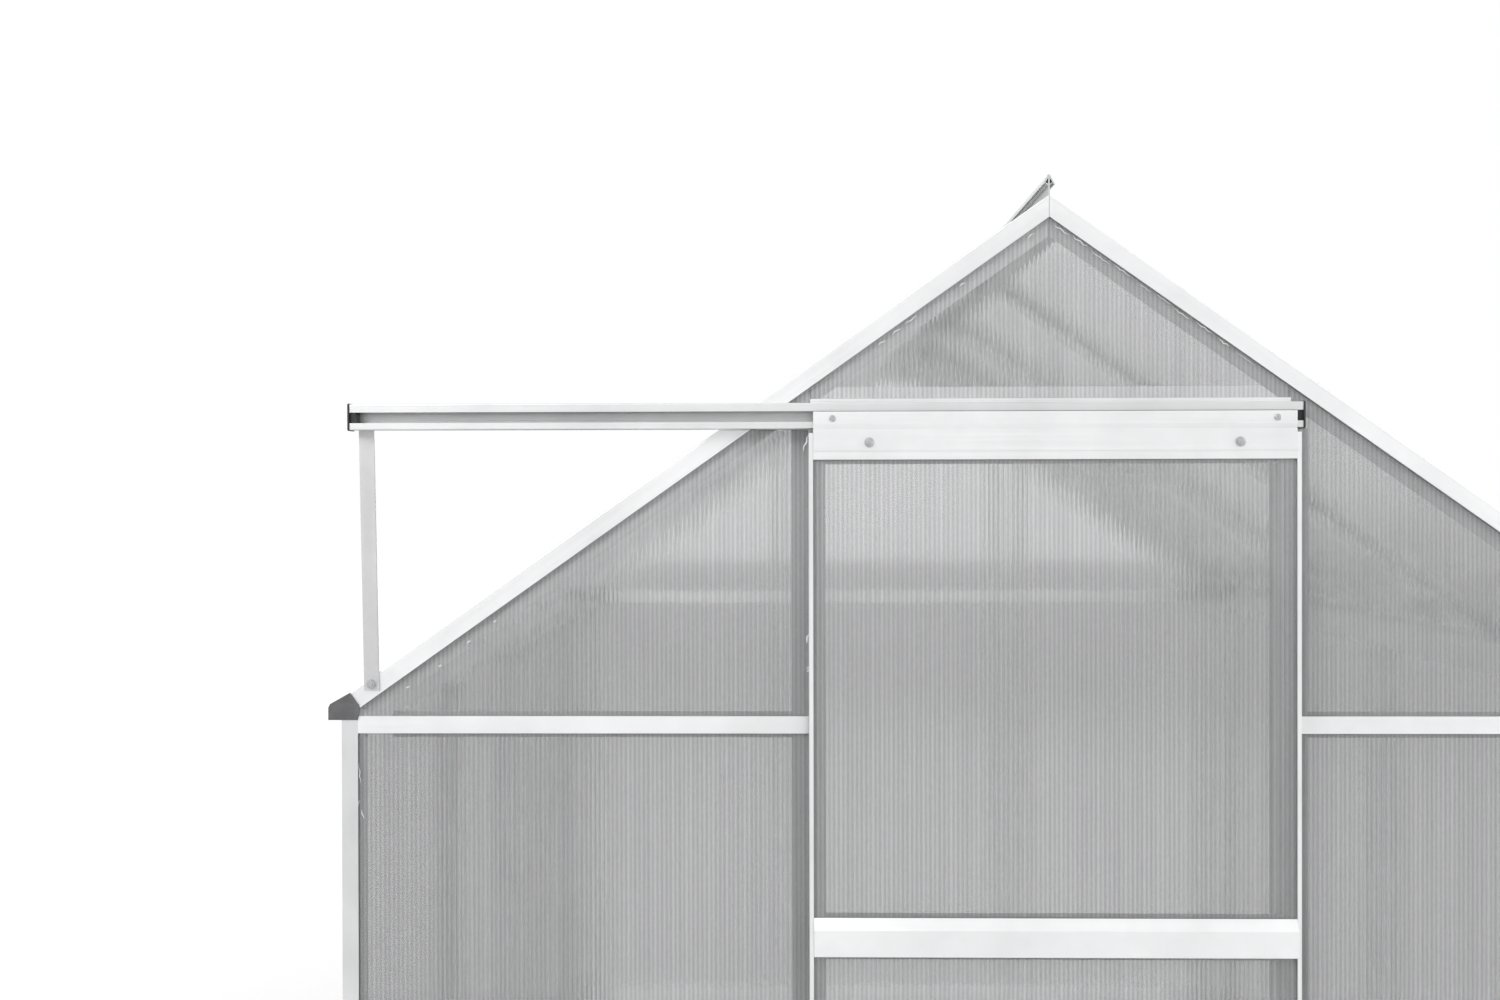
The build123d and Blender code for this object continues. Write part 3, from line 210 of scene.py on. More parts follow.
# Gutter end caps: dark grey moulded plastic plugs pushed onto the four gutter ends, with a fine
# spark-eroded grain and paler scuffs.
def moulded_plastic(name, base, scuffed, roughness, grain):
    finish = bpy.data.materials.new(name)
    finish.use_nodes = True
    nodes, link = finish.node_tree.nodes, finish.node_tree.links.new
    plastic = nodes["Principled BSDF"]
    place = nodes.new("ShaderNodeTexCoord")
    scuffs = nodes.new("ShaderNodeTexNoise")
    scuffs.inputs["Scale"].default_value = 45.0
    scuffs.inputs["Detail"].default_value = 5.0
    link(place.outputs["Object"], scuffs.inputs["Vector"])
    share = nodes.new("ShaderNodeMapRange")
    share.inputs["From Min"].default_value = 0.45
    share.inputs["From Max"].default_value = 0.8
    link(scuffs.outputs["Fac"], share.inputs["Value"])
    colour = nodes.new("ShaderNodeMix")
    colour.data_type = "RGBA"
    colour.inputs["A"].default_value = base
    colour.inputs["B"].default_value = scuffed
    link(share.outputs["Result"], colour.inputs["Factor"])
    link(colour.outputs["Result"], plastic.inputs["Base Color"])
    rough = nodes.new("ShaderNodeMapRange")
    rough.inputs["To Min"].default_value = roughness
    rough.inputs["To Max"].default_value = roughness + 0.25
    link(scuffs.outputs["Fac"], rough.inputs["Value"])
    link(rough.outputs["Result"], plastic.inputs["Roughness"])
    pebbles = nodes.new("ShaderNodeTexVoronoi")
    pebbles.inputs["Scale"].default_value = grain
    link(place.outputs["Object"], pebbles.inputs["Vector"])
    relief = nodes.new("ShaderNodeBump")
    relief.inputs["Strength"].default_value = 0.35
    relief.inputs["Distance"].default_value = 0.0002
    link(pebbles.outputs["Distance"], relief.inputs["Height"])
    link(relief.outputs["Normal"], plastic.inputs["Normal"])
    return finish


CAP_GREY = (0.088, 0.088, 0.092, 1)
CAP_SCUFF = (0.15, 0.15, 0.155, 1)
cap_plastic = moulded_plastic("gutter_cap_plastic", CAP_GREY, CAP_SCUFF, roughness=0.45, grain=900.0)
dress(cap_plastic, "gutter_end_caps")

# Door rail, its end caps and the strut: a C-shaped aluminium track for the rollers, closed by black
# moulded caps, its free end carried by a flat bar that is bolted to the gable rafter.
# The rail gets a darker copy of the aluminium finish: painted shade.
RAIL_BRIGHT = (0.78, 0.785, 0.79, 1)
RAIL_DULL = (0.66, 0.665, 0.67, 1)
rail_metal = mill_finish("aluminium_rail", ALONG_X, RAIL_BRIGHT, RAIL_DULL)
dress(rail_metal, "door_rail", "door_guide_track")
PLUG_BLACK = (0.012, 0.012, 0.013, 1)
PLUG_SCUFF = (0.04, 0.04, 0.042, 1)
rail_cap_plastic = moulded_plastic("rail_cap_plastic", PLUG_BLACK, PLUG_SCUFF, roughness=0.3, grain=1200.0)
dress(rail_cap_plastic, "rail_end_caps")
# The strut gets a darker copy of the aluminium finish: painted shade.
STRUT_BRIGHT = (0.62, 0.62, 0.625, 1)
STRUT_DULL = (0.51, 0.51, 0.515, 1)
strut_metal = mill_finish("aluminium_strut", UPRIGHT, STRUT_BRIGHT, STRUT_DULL)
dress(strut_metal, "rail_strut")

# Door frame: two upright stiles, a top rail that hangs on the nylon rollers, a grip rail half way up
# and a bottom rail with a tongue, all aluminium extrusions screwed together at the corners.
# The door's stiles and rails get lighter copies of the aluminium finish as painted light. Their flanges
# behind the door sheets are painted darker as painted shade.
BEHIND_LEAF = FRONT - 0.0315
STILE_BRIGHT = (0.88, 0.885, 0.89, 1)
STILE_DULL = (0.76, 0.765, 0.77, 1)
GRIP_BRIGHT = (0.90, 0.905, 0.91, 1)
GRIP_DULL = (0.78, 0.785, 0.79, 1)
door_upright = mill_finish("aluminium_door_upright", UPRIGHT, STILE_BRIGHT, STILE_DULL, BEHIND_LEAF)
door_across = mill_finish("aluminium_door_across", ALONG_X, GRIP_BRIGHT, GRIP_DULL, BEHIND_LEAF)
dress(door_upright, "door_stiles")
dress(door_across, "door_top_rail", "door_mid_rail", "door_bottom_rail")
NYLON = (0.62, 0.61, 0.58, 1)
NYLON_WORN = (0.45, 0.44, 0.42, 1)
roller_nylon = moulded_plastic("roller_nylon", NYLON, NYLON_WORN, roughness=0.35, grain=1500.0)
dress(roller_nylon, "door_rollers")

# Sheets: clear twin-wall polycarbonate, two thin skins held apart by ribs 6 mm apart, so that each
# sheet is a row of open flutes. Upright in the walls, down the slope on the roof, slid into the grooves.
FLUTE = 0.006
RIB = 0.0005
SKIN = 0.0005
SHEET = 0.004


def fluted_sheet(left, right, foot, top):
    """One sheet in its own frame: X across the flutes, Y through the sheet, Z along them."""
    count = round((right - left) / FLUTE)
    step = (right - left - RIB) / count
    columns = [left + k // 2 * step + (RIB if k % 2 else 0) for k in range(2 * count + 2)]
    rows = [0, SKIN, SHEET - SKIN, SHEET]
    bpy.ops.object.select_all(action="DESELECT")
    bpy.ops.mesh.primitive_grid_add(x_subdivisions=2 * count + 1, y_subdivisions=3, size=2)
    sheet = bpy.context.object
    mesh = sheet.data
    place = {}
    for corner in mesh.vertices:
        column = round((corner.co.x + 1) / 2 * (2 * count + 1))
        row = round((corner.co.y + 1) / 2 * 3)
        place[corner.index] = (column, row)
    for corner in mesh.vertices:
        column, row = place[corner.index]
        corner.co = (columns[column], rows[row], 0)
    for face in mesh.polygons:
        low_column = min(place[i][0] for i in face.vertices)
        low_row = min(place[i][1] for i in face.vertices)
        face.select = low_column % 2 == 1 and low_row == 1
    bpy.context.tool_settings.mesh_select_mode = (False, False, True)
    bpy.ops.object.mode_set(mode="EDIT")
    bpy.ops.mesh.delete(type="ONLY_FACE")
    bpy.ops.mesh.select_all(action="SELECT")
    bpy.ops.mesh.extrude_region_move(TRANSFORM_OT_translate={"value": (0, 0, 1)})
    bpy.ops.mesh.select_all(action="SELECT")
    bpy.ops.mesh.normals_make_consistent(inside=False)
    bpy.ops.object.mode_set(mode="OBJECT")
    mesh.materials.append(polycarbonate)
    mesh.materials.append(flute_air)
    for face in mesh.polygons:
        inner = face.center.y > SKIN / 2 and face.center.y < SHEET - SKIN / 2
        upright = abs(face.normal.z) < 0.5
        at_edge = face.center.x < left + RIB / 4 or face.center.x > right - RIB / 4
        face.material_index = 1 if inner and upright and not at_edge else 0
    flutes = mesh.attributes.new("flute", "FLOAT", "POINT")
    for corner in mesh.vertices:
        flutes.data[corner.index].value = (corner.co.x - left - RIB / 2) / step
        corner.co.z = foot if corner.co.z < 0.5 else top(corner.co.x)
    return sheet


def put(piece, matrix):
    piece.data.transform(matrix)
    piece.data.update()
    return piece


def as_one(name, pieces):
    bpy.ops.object.select_all(action="DESELECT")
    for piece in pieces:
        piece.select_set(True)
    bpy.context.view_layer.objects.active = pieces[0]
    bpy.ops.object.join()
    whole = bpy.context.object
    whole.name = name
    whole.data.name = name
    return whole


def flute_lines_group():
    group = bpy.data.node_groups.new("flute_lines", "ShaderNodeTree")
    group_socket(group, "Flute", "INPUT", "NodeSocketFloat")
    group_socket(group, "Place", "INPUT", "NodeSocketVector")
    group_socket(group, "Streak", "OUTPUT", "NodeSocketFloat")
    group_socket(group, "Height", "OUTPUT", "NodeSocketFloat")
    nodes, link = group.nodes, group.links.new
    given, result = nodes.new("NodeGroupInput"), nodes.new("NodeGroupOutput")
    turn = nodes.new("ShaderNodeMath")
    turn.operation = "MULTIPLY"
    turn.inputs[1].default_value = 2 * math.pi
    link(given.outputs["Flute"], turn.inputs[0])
    wave = nodes.new("ShaderNodeMath")
    wave.operation = "COSINE"
    link(turn.outputs["Value"], wave.inputs[0])
    sparse = nodes.new("ShaderNodeCombineXYZ")
    link(given.outputs["Flute"], sparse.inputs["X"])
    stretch = nodes.new("ShaderNodeVectorMath")
    stretch.operation = "MULTIPLY"
    stretch.inputs[1].default_value = (0, 0, 1.5)
    link(given.outputs["Place"], stretch.inputs[0])
    both = nodes.new("ShaderNodeVectorMath")
    link(sparse.outputs["Vector"], both.inputs[0])
    link(stretch.outputs["Vector"], both.inputs[1])
    streak = nodes.new("ShaderNodeTexNoise")
    streak.inputs["Scale"].default_value = 1.0
    streak.inputs["Detail"].default_value = 0.0
    link(both.outputs["Vector"], streak.inputs["Vector"])
    height = nodes.new("ShaderNodeMath")
    height.operation = "MULTIPLY_ADD"
    height.inputs[1].default_value = 0.42
    link(wave.outputs["Value"], height.inputs[0])
    quiet = nodes.new("ShaderNodeMapRange")
    quiet.inputs["To Min"].default_value = 0.32
    quiet.inputs["To Max"].default_value = 0.68
    link(streak.outputs["Fac"], quiet.inputs["Value"])
    link(quiet.outputs["Result"], height.inputs[2])
    link(streak.outputs["Fac"], result.inputs["Streak"])
    link(height.outputs["Value"], result.inputs["Height"])
    return group


flute_lines = flute_lines_group()


def place_flutes(nodes, link):
    flute = nodes.new("ShaderNodeAttribute")
    flute.attribute_name = "flute"
    place = nodes.new("ShaderNodeTexCoord")
    lines = nodes.new("ShaderNodeGroup")
    lines.node_tree = flute_lines
    link(flute.outputs["Fac"], lines.inputs["Flute"])
    link(place.outputs["Object"], lines.inputs["Place"])
    return lines


def clear_polycarbonate(name):
    finish = bpy.data.materials.new(name)
    finish.use_nodes = True
    nodes, link = finish.node_tree.nodes, finish.node_tree.links.new
    sheet = nodes["Principled BSDF"]
    sheet.inputs["Metallic"].default_value = 0.0
    sheet.inputs["Transmission Weight"].default_value = 0.88
    sheet.inputs["IOR"].default_value = 1.4
    lines = place_flutes(nodes, link)
    relief = nodes.new("ShaderNodeBump")
    relief.inputs["Strength"].default_value = 1.0
    relief.inputs["Distance"].default_value = 0.00006
    link(lines.outputs["Height"], relief.inputs["Height"])
    link(relief.outputs["Normal"], sheet.inputs["Normal"])
    colour = nodes.new("ShaderNodeMix")
    colour.data_type = "RGBA"
    colour.inputs["A"].default_value = (0.90, 0.902, 0.905, 1)
    colour.inputs["B"].default_value = (0.70, 0.702, 0.705, 1)
    link(lines.outputs["Height"], colour.inputs["Factor"])
    # The sheets are lighter towards the top and darker towards the bottom: painted light from above.
    place = nodes.new("ShaderNodeTexCoord")
    height = nodes.new("ShaderNodeSeparateXYZ")
    link(place.outputs["Object"], height.inputs["Vector"])
    painted_top_light = nodes.new("ShaderNodeMapRange")
    painted_top_light.inputs["From Min"].default_value = 0.9
    painted_top_light.inputs["From Max"].default_value = 1.8
    painted_top_light.inputs["To Min"].default_value = 0.88
    painted_top_light.inputs["To Max"].default_value = 1.03
    link(height.outputs["Z"], painted_top_light.inputs["Value"])
    top_lit_colour = nodes.new("ShaderNodeMix")
    top_lit_colour.data_type = "RGBA"
    top_lit_colour.blend_type = "MULTIPLY"
    top_lit_colour.inputs["Factor"].default_value = 1.0
    link(colour.outputs["Result"], top_lit_colour.inputs["A"])
    link(painted_top_light.outputs["Result"], top_lit_colour.inputs["B"])
    link(top_lit_colour.outputs["Result"], sheet.inputs["Base Color"])
    rough = nodes.new("ShaderNodeMapRange")
    rough.inputs["To Min"].default_value = 0.035
    rough.inputs["To Max"].default_value = 0.095
    link(lines.outputs["Streak"], rough.inputs["Value"])
    link(rough.outputs["Result"], sheet.inputs["Roughness"])
    lamp_light = nodes.new("ShaderNodeBsdfTransparent")
    lamp_light.inputs["Color"].default_value = (0.85, 0.85, 0.85, 1)
    path = nodes.new("ShaderNodeLightPath")
    either = nodes.new("ShaderNodeMixShader")
    link(path.outputs["Is Shadow Ray"], either.inputs["Fac"])
    link(sheet.outputs["BSDF"], either.inputs[1])
    link(lamp_light.outputs["BSDF"], either.inputs[2])
    link(either.outputs["Shader"], nodes["Material Output"].inputs["Surface"])
    return finish


def flute_wall(name):
    finish = bpy.data.materials.new(name)
    finish.use_nodes = True
    nodes, link = finish.node_tree.nodes, finish.node_tree.links.new
    nodes.remove(nodes["Principled BSDF"])
    lines = place_flutes(nodes, link)
    shade = nodes.new("ShaderNodeMapRange")
    shade.inputs["From Min"].default_value = 0.3
    shade.inputs["From Max"].default_value = 0.7
    link(lines.outputs["Streak"], shade.inputs["Value"])
    colour = nodes.new("ShaderNodeMix")
    colour.data_type = "RGBA"
    colour.inputs["A"].default_value = (0.974, 0.974, 0.974, 1)
    colour.inputs["B"].default_value = (0.956, 0.956, 0.956, 1)
    link(shade.outputs["Result"], colour.inputs["Factor"])
    air = nodes.new("ShaderNodeBsdfTransparent")
    link(colour.outputs["Result"], air.inputs["Color"])
    link(air.outputs["BSDF"], nodes["Material Output"].inputs["Surface"])
    return finish


polycarbonate = clear_polycarbonate("clear_polycarbonate")
flute_air = flute_wall("flute_walls")


def glaze(piece, body, node):
    piece.visible_shadow = False
    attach(piece, body)
    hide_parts(node)


# Front gable sheets: two lower ones beside the door, two upper ones cut to the slope, and the apex over
# the door header. Clear polycarbonate, sawn to size and slid into the grooves of posts, bars and rafters.
BACK = 1.26075
GROOVE = 0.0023
SLOPE = math.tan(PITCH)
SILL_GROOVE = 0.0323
UNDER_BAR = 1.2122
OVER_BAR = 1.2148
UNDER_HEADER = 1.6062
OVER_HEADER = 1.6363
JAMB_GROOVE = 0.3003
POST_GROOVE = 0.9361
EAVE_POINT = 0.923
HEADER_END = 0.3173
HEADER_END_TOP = 1.6815
APEX_POINT = 1.9062
APEX_HALF = 0.317


def level(height):
    return lambda x: height


def slope_edge(x):
    return APEX_POINT - abs(x) * SLOPE


def upper_edge(x):
    return UNDER_HEADER if abs(x) < HEADER_END else HEADER_END_TOP - (abs(x) - HEADER_END) * SLOPE


to_front = Matrix.Translation((0, FRONT + GROOVE, 0))
lower = [(-POST_GROOVE, -JAMB_GROOVE), (JAMB_GROOVE, POST_GROOVE)]
sheets = [put(fluted_sheet(a, b, SILL_GROOVE, level(UNDER_BAR)), to_front) for a, b in lower]
glaze(as_one("front_lower_glazing", sheets), "frame", "front_sheets_lower")
upper = [(-EAVE_POINT, -JAMB_GROOVE), (JAMB_GROOVE, EAVE_POINT)]
sheets = [put(fluted_sheet(a, b, OVER_BAR, upper_edge), to_front) for a, b in upper]
glaze(as_one("front_upper_glazing", sheets), "frame", "front_sheets_upper")
sheets = [put(fluted_sheet(-APEX_HALF, APEX_HALF, OVER_HEADER, slope_edge), to_front)]
glaze(as_one("front_apex_glazing", sheets), "frame", "front_sheet_apex")

# Back gable sheets: three lower and three upper ones between the posts and the two studs, the upper ones
# cut to the slope. The same clear polycarbonate, slid into the same grooves.
STUD_INNER = 0.3182
STUD_OUTER = 0.3218


def back_bays(outer):
    return [(-outer, -STUD_OUTER), (-STUD_INNER, STUD_INNER), (STUD_OUTER, outer)]


to_back = Matrix.Translation((0, BACK - GROOVE - SHEET, 0))
lower = back_bays(POST_GROOVE)
sheets = [put(fluted_sheet(a, b, SILL_GROOVE, level(UNDER_BAR)), to_back) for a, b in lower]
glaze(as_one("back_lower_glazing", sheets), "frame", "back_sheets_lower")
upper = back_bays(EAVE_POINT)
sheets = [put(fluted_sheet(a, b, OVER_BAR, slope_edge), to_back) for a, b in upper]
glaze(as_one("back_upper_glazing", sheets), "frame", "back_sheets_upper")

# Side sheets: four between the posts and studs of each side wall. Clear polycarbonate, standing in the
# sill's groove and held at the top by the gutter.
SIDE = 0.945
BAY = 0.62
GUTTER_GROOVE = 1.2197
POST_EDGE = 0.0089
STUD_EDGE = 0.0018
starts = [POST_EDGE] + [n * BAY + STUD_EDGE for n in (1, 2, 3)]
ends = [n * BAY - STUD_EDGE for n in (1, 2, 3)] + [4 * BAY - POST_EDGE]
bays = [(FRONT + a, FRONT + b) for a, b in zip(starts, ends)]
for side, node in [(-1, "side_sheets_left"), (1, "side_sheets_right")]:
    middle = Matrix.Translation((side * (SIDE - GROOVE - SHEET / 2), 0, 0))
    turn = middle @ Matrix.Rotation(QUARTER, 4, "Z") @ Matrix.Translation((0, -SHEET / 2, 0))
    sheets = [put(fluted_sheet(a, b, SILL_GROOVE, level(GUTTER_GROOVE)), turn) for a, b in bays]
    glaze(as_one(node.replace("sheets", "glazing"), sheets), "frame", node)

# Roof sheets: four on each slope, one of them shortened below the vent, and one in each vent frame. Clear
# polycarbonate, slid up between the rafters with the flutes down the slope, so that they drain.
APEX = 1.9171
SPAN = (0.008, 1.153)
VENT_SPAN = (0.6213, 1.153)
VENT_SHEET = (0.0513, 0.6227)
VENT_LIFT = 0.0053
VENT_EDGE = 0.0203
vent_bays = {-1: 1, 1: 2}


def slope_axes(side):
    down = Vector((side * math.cos(PITCH), 0, -math.sin(PITCH)))
    inward = Vector((-side * math.sin(PITCH), 0, -math.cos(PITCH)))
    return down, inward


def on_slope(side, lift):
    """Where a roof sheet lies: X along the house, Y out of the roof, Z down the slope."""
    down, inward = slope_axes(side)
    axes = Matrix((Vector((0, side, 0)), -inward, down)).transposed().to_4x4()
    return Matrix.Translation(Vector((0, 0, APEX)) - inward * lift) @ axes


for side, node in [(-1, "roof_sheets_left"), (1, "roof_sheets_right")]:
    sheets = []
    for bay, (a, b) in enumerate(bays):
        head, foot = VENT_SPAN if bay == vent_bays[side] else SPAN
        low, high = sorted((side * a, side * b))
        sheets.append(put(fluted_sheet(low, high, head, level(foot)), on_slope(side, -GROOVE - SHEET)))
    glaze(as_one(node.replace("sheets", "glazing"), sheets), "frame", node)

vents = []
for side, bay in vent_bays.items():
    near = FRONT + bay * BAY + VENT_EDGE
    far = FRONT + (bay + 1) * BAY - VENT_EDGE
    low, high = sorted((side * near, side * far))
    head, foot = VENT_SHEET
    vents.append(put(fluted_sheet(low, high, head, level(foot)), on_slope(side, VENT_LIFT)))
glaze(as_one("vent_glazing", vents), "frame", "vent_sheets")

# Door sheets: one below and one above the grip rail. Clear polycarbonate, slid into the door's own
# grooves before its corners are screwed together.
LEAF_GROOVE = 0.0337
LEAF_HALF = 0.3177
to_door = Matrix.Translation((0, FRONT - LEAF_GROOVE, 0))
halves = [(0.0603, 0.9402), (0.9428, 1.5772)]
sheets = [put(fluted_sheet(-LEAF_HALF, LEAF_HALF, a, level(b)), to_door) for a, b in halves]
glaze(as_one("door_glazing", sheets), "door", "door_sheets")

# Nuts and bolts: zinc-plated M6 bolts whose heads slide in the bars' slots, each drawn up with a washer
# and a hexagon nut. They hold the door's top rail, the foot of the strut and the frame's inner flanges.
WASHER = (24, 0.0065, 0.0012, 0.0003)
NUT = (6, 0.0058, 0.0038, 0.0009)
BOLT_END = (12, 0.003, 0.0016, 0.0006)


def pick_faces(piece, wanted):
    for face in piece.data.polygons:
        face.select = wanted(face)
    bpy.context.tool_settings.mesh_select_mode = (False, False, True)


def chamfered_disc(sides, radius, height, chamfer, foot):
    """A disc or hexagon on Z whose upper rim is cut away at a slant."""
    bpy.ops.object.select_all(action="DESELECT")
    straight = height - chamfer
    middle = (0, 0, foot + straight / 2)
    bpy.ops.mesh.primitive_cylinder_add(vertices=sides, radius=radius, depth=straight, location=middle)
    disc = bpy.context.object
    bpy.ops.object.transform_apply(location=True, rotation=False, scale=False)
    pick_faces(disc, lambda face: face.normal.z > 0.9)
    bpy.ops.object.mode_set(mode="EDIT")
    bpy.ops.mesh.extrude_region_move(TRANSFORM_OT_translate={"value": (0, 0, chamfer)})
    shrink = 1 - chamfer / radius
    bpy.ops.transform.resize(value=(shrink, shrink, 1), center_override=(0, 0, foot + height))
    bpy.ops.object.mode_set(mode="OBJECT")
    return disc


def copied(piece, matrix):
    twin = piece.copy()
    twin.data = piece.data.copy()
    bpy.context.collection.objects.link(twin)
    return put(twin, matrix)


def plated_steel(name, bright, dull):
    finish = bpy.data.materials.new(name)
    finish.use_nodes = True
    nodes, link = finish.node_tree.nodes, finish.node_tree.links.new
    steel = nodes["Principled BSDF"]
    steel.inputs["Metallic"].default_value = 1.0
    place = nodes.new("ShaderNodeTexCoord")
    spangle = nodes.new("ShaderNodeTexVoronoi")
    spangle.inputs["Scale"].default_value = 1100.0
    link(place.outputs["Object"], spangle.inputs["Vector"])
    colour = nodes.new("ShaderNodeMix")
    colour.data_type = "RGBA"
    colour.inputs["A"].default_value = bright
    colour.inputs["B"].default_value = dull
    link(spangle.outputs["Distance"], colour.inputs["Factor"])
    link(colour.outputs["Result"], steel.inputs["Base Color"])
    rough = nodes.new("ShaderNodeMapRange")
    rough.inputs["To Min"].default_value = 0.2
    rough.inputs["To Max"].default_value = 0.42
    link(spangle.outputs["Distance"], rough.inputs["Value"])
    link(rough.outputs["Result"], steel.inputs["Roughness"])
    return finish


def fasten(name, model, places, body):
    whole = as_one(name, [copied(model, place) for place in places])
    bpy.ops.object.shade_smooth_by_angle(angle=math.radians(30))
    whole.data.materials.append(zinc)
    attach(whole, body)


zinc = plated_steel("zinc_plated_steel", bright=(0.70, 0.70, 0.71, 1), dull=(0.42, 0.42, 0.44, 1))
washer_top = WASHER[2]
nut_top = washer_top + NUT[2]
stack = [chamfered_disc(*WASHER, 0), chamfered_disc(*NUT, washer_top), chamfered_disc(*BOLT_END, nut_top)]
nut = as_one("nut", stack)

LEAF_FACE = FRONT - 0.037
RAIL_NUT_OUT = 0.241
RAIL_NUT_UP = 1.588
STRUT_BOLT = (-0.9035, FRONT - 0.003, 1.268)
face_front = Matrix.Rotation(QUARTER, 4, "X")
rail_places = [(side * RAIL_NUT_OUT, LEAF_FACE, RAIL_NUT_UP) for side in (-1, 1)]
fasten("door_rail_nuts", nut, [Matrix.Translation(place) @ face_front for place in rail_places], "door")
fasten("strut_nut", nut, [Matrix.Translation(STRUT_BOLT) @ face_front], "frame")

FLANGE = 0.0086
STUD_HOLE = 0.011
POST_HOLE = 0.021
HOLE_HEIGHTS = (0.075, 1.172)
studs = [FRONT + n * BAY for n in (1, 2, 3)]
stud_holes = [y + across for y in studs for across in (-STUD_HOLE, STUD_HOLE)]
face_back = Matrix.Rotation(-QUARTER, 4, "X")
frame_nuts = []
for side in (-1, 1):
    face_in = Matrix.Rotation(-side * QUARTER, 4, "Y")
    wall_holes = stud_holes + [FRONT + POST_HOLE, BACK - POST_HOLE]
    for z in HOLE_HEIGHTS:
        frame_nuts += [Matrix.Translation((side * (SIDE - FLANGE), y, z)) @ face_in for y in wall_holes]
        frame_nuts.append(Matrix.Translation((side * (SIDE - POST_HOLE), FRONT + FLANGE, z)) @ face_back)
        frame_nuts.append(Matrix.Translation((side * (SIDE - POST_HOLE), BACK - FLANGE, z)) @ face_front)
fasten("wall_nuts", nut, frame_nuts, "frame")

RAFTER_HOLES = (0.075, 1.085)
BARGE_HOLE = 0.030
roof_nuts = []
for side in (-1, 1):
    down, inward = slope_axes(side)
    face_under = Matrix.Rotation(side * PITCH, 4, "Y") @ Matrix.Rotation(math.pi, 4, "X")
    for u in RAFTER_HOLES:
        skin = Vector((0, 0, APEX)) + down * u
        for y in stud_holes:
            roof_nuts.append(Matrix.Translation(skin + inward * FLANGE + Vector((0, y, 0))) @ face_under)
        barge = skin + inward * BARGE_HOLE
        roof_nuts.append(Matrix.Translation(barge + Vector((0, FRONT + FLANGE, 0))) @ face_back)
        roof_nuts.append(Matrix.Translation(barge + Vector((0, BACK - FLANGE, 0))) @ face_front)
fasten("roof_nuts", nut, roof_nuts, "frame")
bpy.data.objects.remove(nut)

# Roller screws: zinc-plated pan-head screws with a cross recess, one through the door's top rail into
# each roller's axle. The head is turned in two steps and the recess is punched.
SCREW_FLANK = (24, 0.0044, 0.0018, 0.0007)
SCREW_CROWN = (24, 0.0037, 0.0008, 0.0007)
RECESS = (0.0052, 0.0013, 0.0008)
SCREW_OUT = 0.289
SCREW_UP = 1.6194
crown_foot = SCREW_FLANK[2]
screw = as_one("screw", [chamfered_disc(*SCREW_FLANK, 0), chamfered_disc(*SCREW_CROWN, crown_foot)])
screw_top = (0, 0, crown_foot + SCREW_CROWN[2])
for turn in (math.pi / 4, math.pi / 4 + QUARTER):
    bpy.ops.object.select_all(action="DESELECT")
    bpy.ops.mesh.primitive_cube_add(size=1, location=screw_top, rotation=(0, 0, turn), scale=RECESS)
    blade = bpy.context.object
    bpy.context.view_layer.objects.active = screw
    bpy.ops.object.modifier_add(type="BOOLEAN")
    screw.modifiers[-1].operation = "DIFFERENCE"
    screw.modifiers[-1].object = blade
    bpy.ops.object.modifier_apply(modifier=screw.modifiers[-1].name)
    bpy.data.objects.remove(blade)
screw_places = [(side * SCREW_OUT, LEAF_FACE, SCREW_UP) for side in (-1, 1)]
fasten("roller_screws", screw, [Matrix.Translation(place) @ face_front for place in screw_places], "door")
bpy.data.objects.remove(screw)

# Torn film: the sheets' protective film was peeled off when they were already in their grooves, so thin
# milky strips of it stay caught along the front gable's edges and behind the door's stile.
FILM = 0.0001
FILM_STEP = 0.0015
random.seed(5)


def film_strip(length, width, lift):
    """One strip in its own frame: X along it, Y across, Z off the sheet."""
    steps = max(3, round(length / FILM_STEP))
    bpy.ops.object.select_all(action="DESELECT")
    bpy.ops.mesh.primitive_grid_add(x_subdivisions=steps, y_subdivisions=1, size=2)
    strip = bpy.context.object
    sway = random.uniform(0, math.pi)
    wander = [0.5 * math.sin(sway + 0.8 * k) + random.uniform(-0.15, 0.15) for k in range(steps + 1)]
    curl = [random.uniform(0, 1) for _ in range(steps + 1)]
    for corner in strip.data.vertices:
        column = round((corner.co.x + 1) / 2 * steps)
        share = column / steps
        taper = 0.25 + 0.75 * math.sin(math.pi * share)
        across = width * (corner.co.y * taper / 2 + wander[column])
        corner.co = (share * length, across, FILM + lift * curl[column] * taper)
    bpy.ops.object.modifier_add(type="SOLIDIFY")
    strip.modifiers[-1].thickness = FILM
    bpy.ops.object.modifier_apply(modifier=strip.modifiers[-1].name)
    return strip


def milky_film(name):
    finish = bpy.data.materials.new(name)
    finish.use_nodes = True
    nodes, link = finish.node_tree.nodes, finish.node_tree.links.new
    film = nodes["Principled BSDF"]
    film.inputs["Transmission Weight"].default_value = 0.2
    place = nodes.new("ShaderNodeTexCoord")
    creases = nodes.new("ShaderNodeTexNoise")
    creases.inputs["Scale"].default_value = 400.0
    link(place.outputs["Object"], creases.inputs["Vector"])
    colour = nodes.new("ShaderNodeMix")
    colour.data_type = "RGBA"
    colour.inputs["A"].default_value = (0.95, 0.95, 0.95, 1)
    colour.inputs["B"].default_value = (0.72, 0.72, 0.73, 1)
    link(creases.outputs["Fac"], colour.inputs["Factor"])
    link(colour.outputs["Result"], film.inputs["Base Color"])
    rough = nodes.new("ShaderNodeMapRange")
    rough.inputs["To Min"].default_value = 0.25
    rough.inputs["To Max"].default_value = 0.55
    link(creases.outputs["Fac"], rough.inputs["Value"])
    link(rough.outputs["Result"], film.inputs["Roughness"])
    return finish


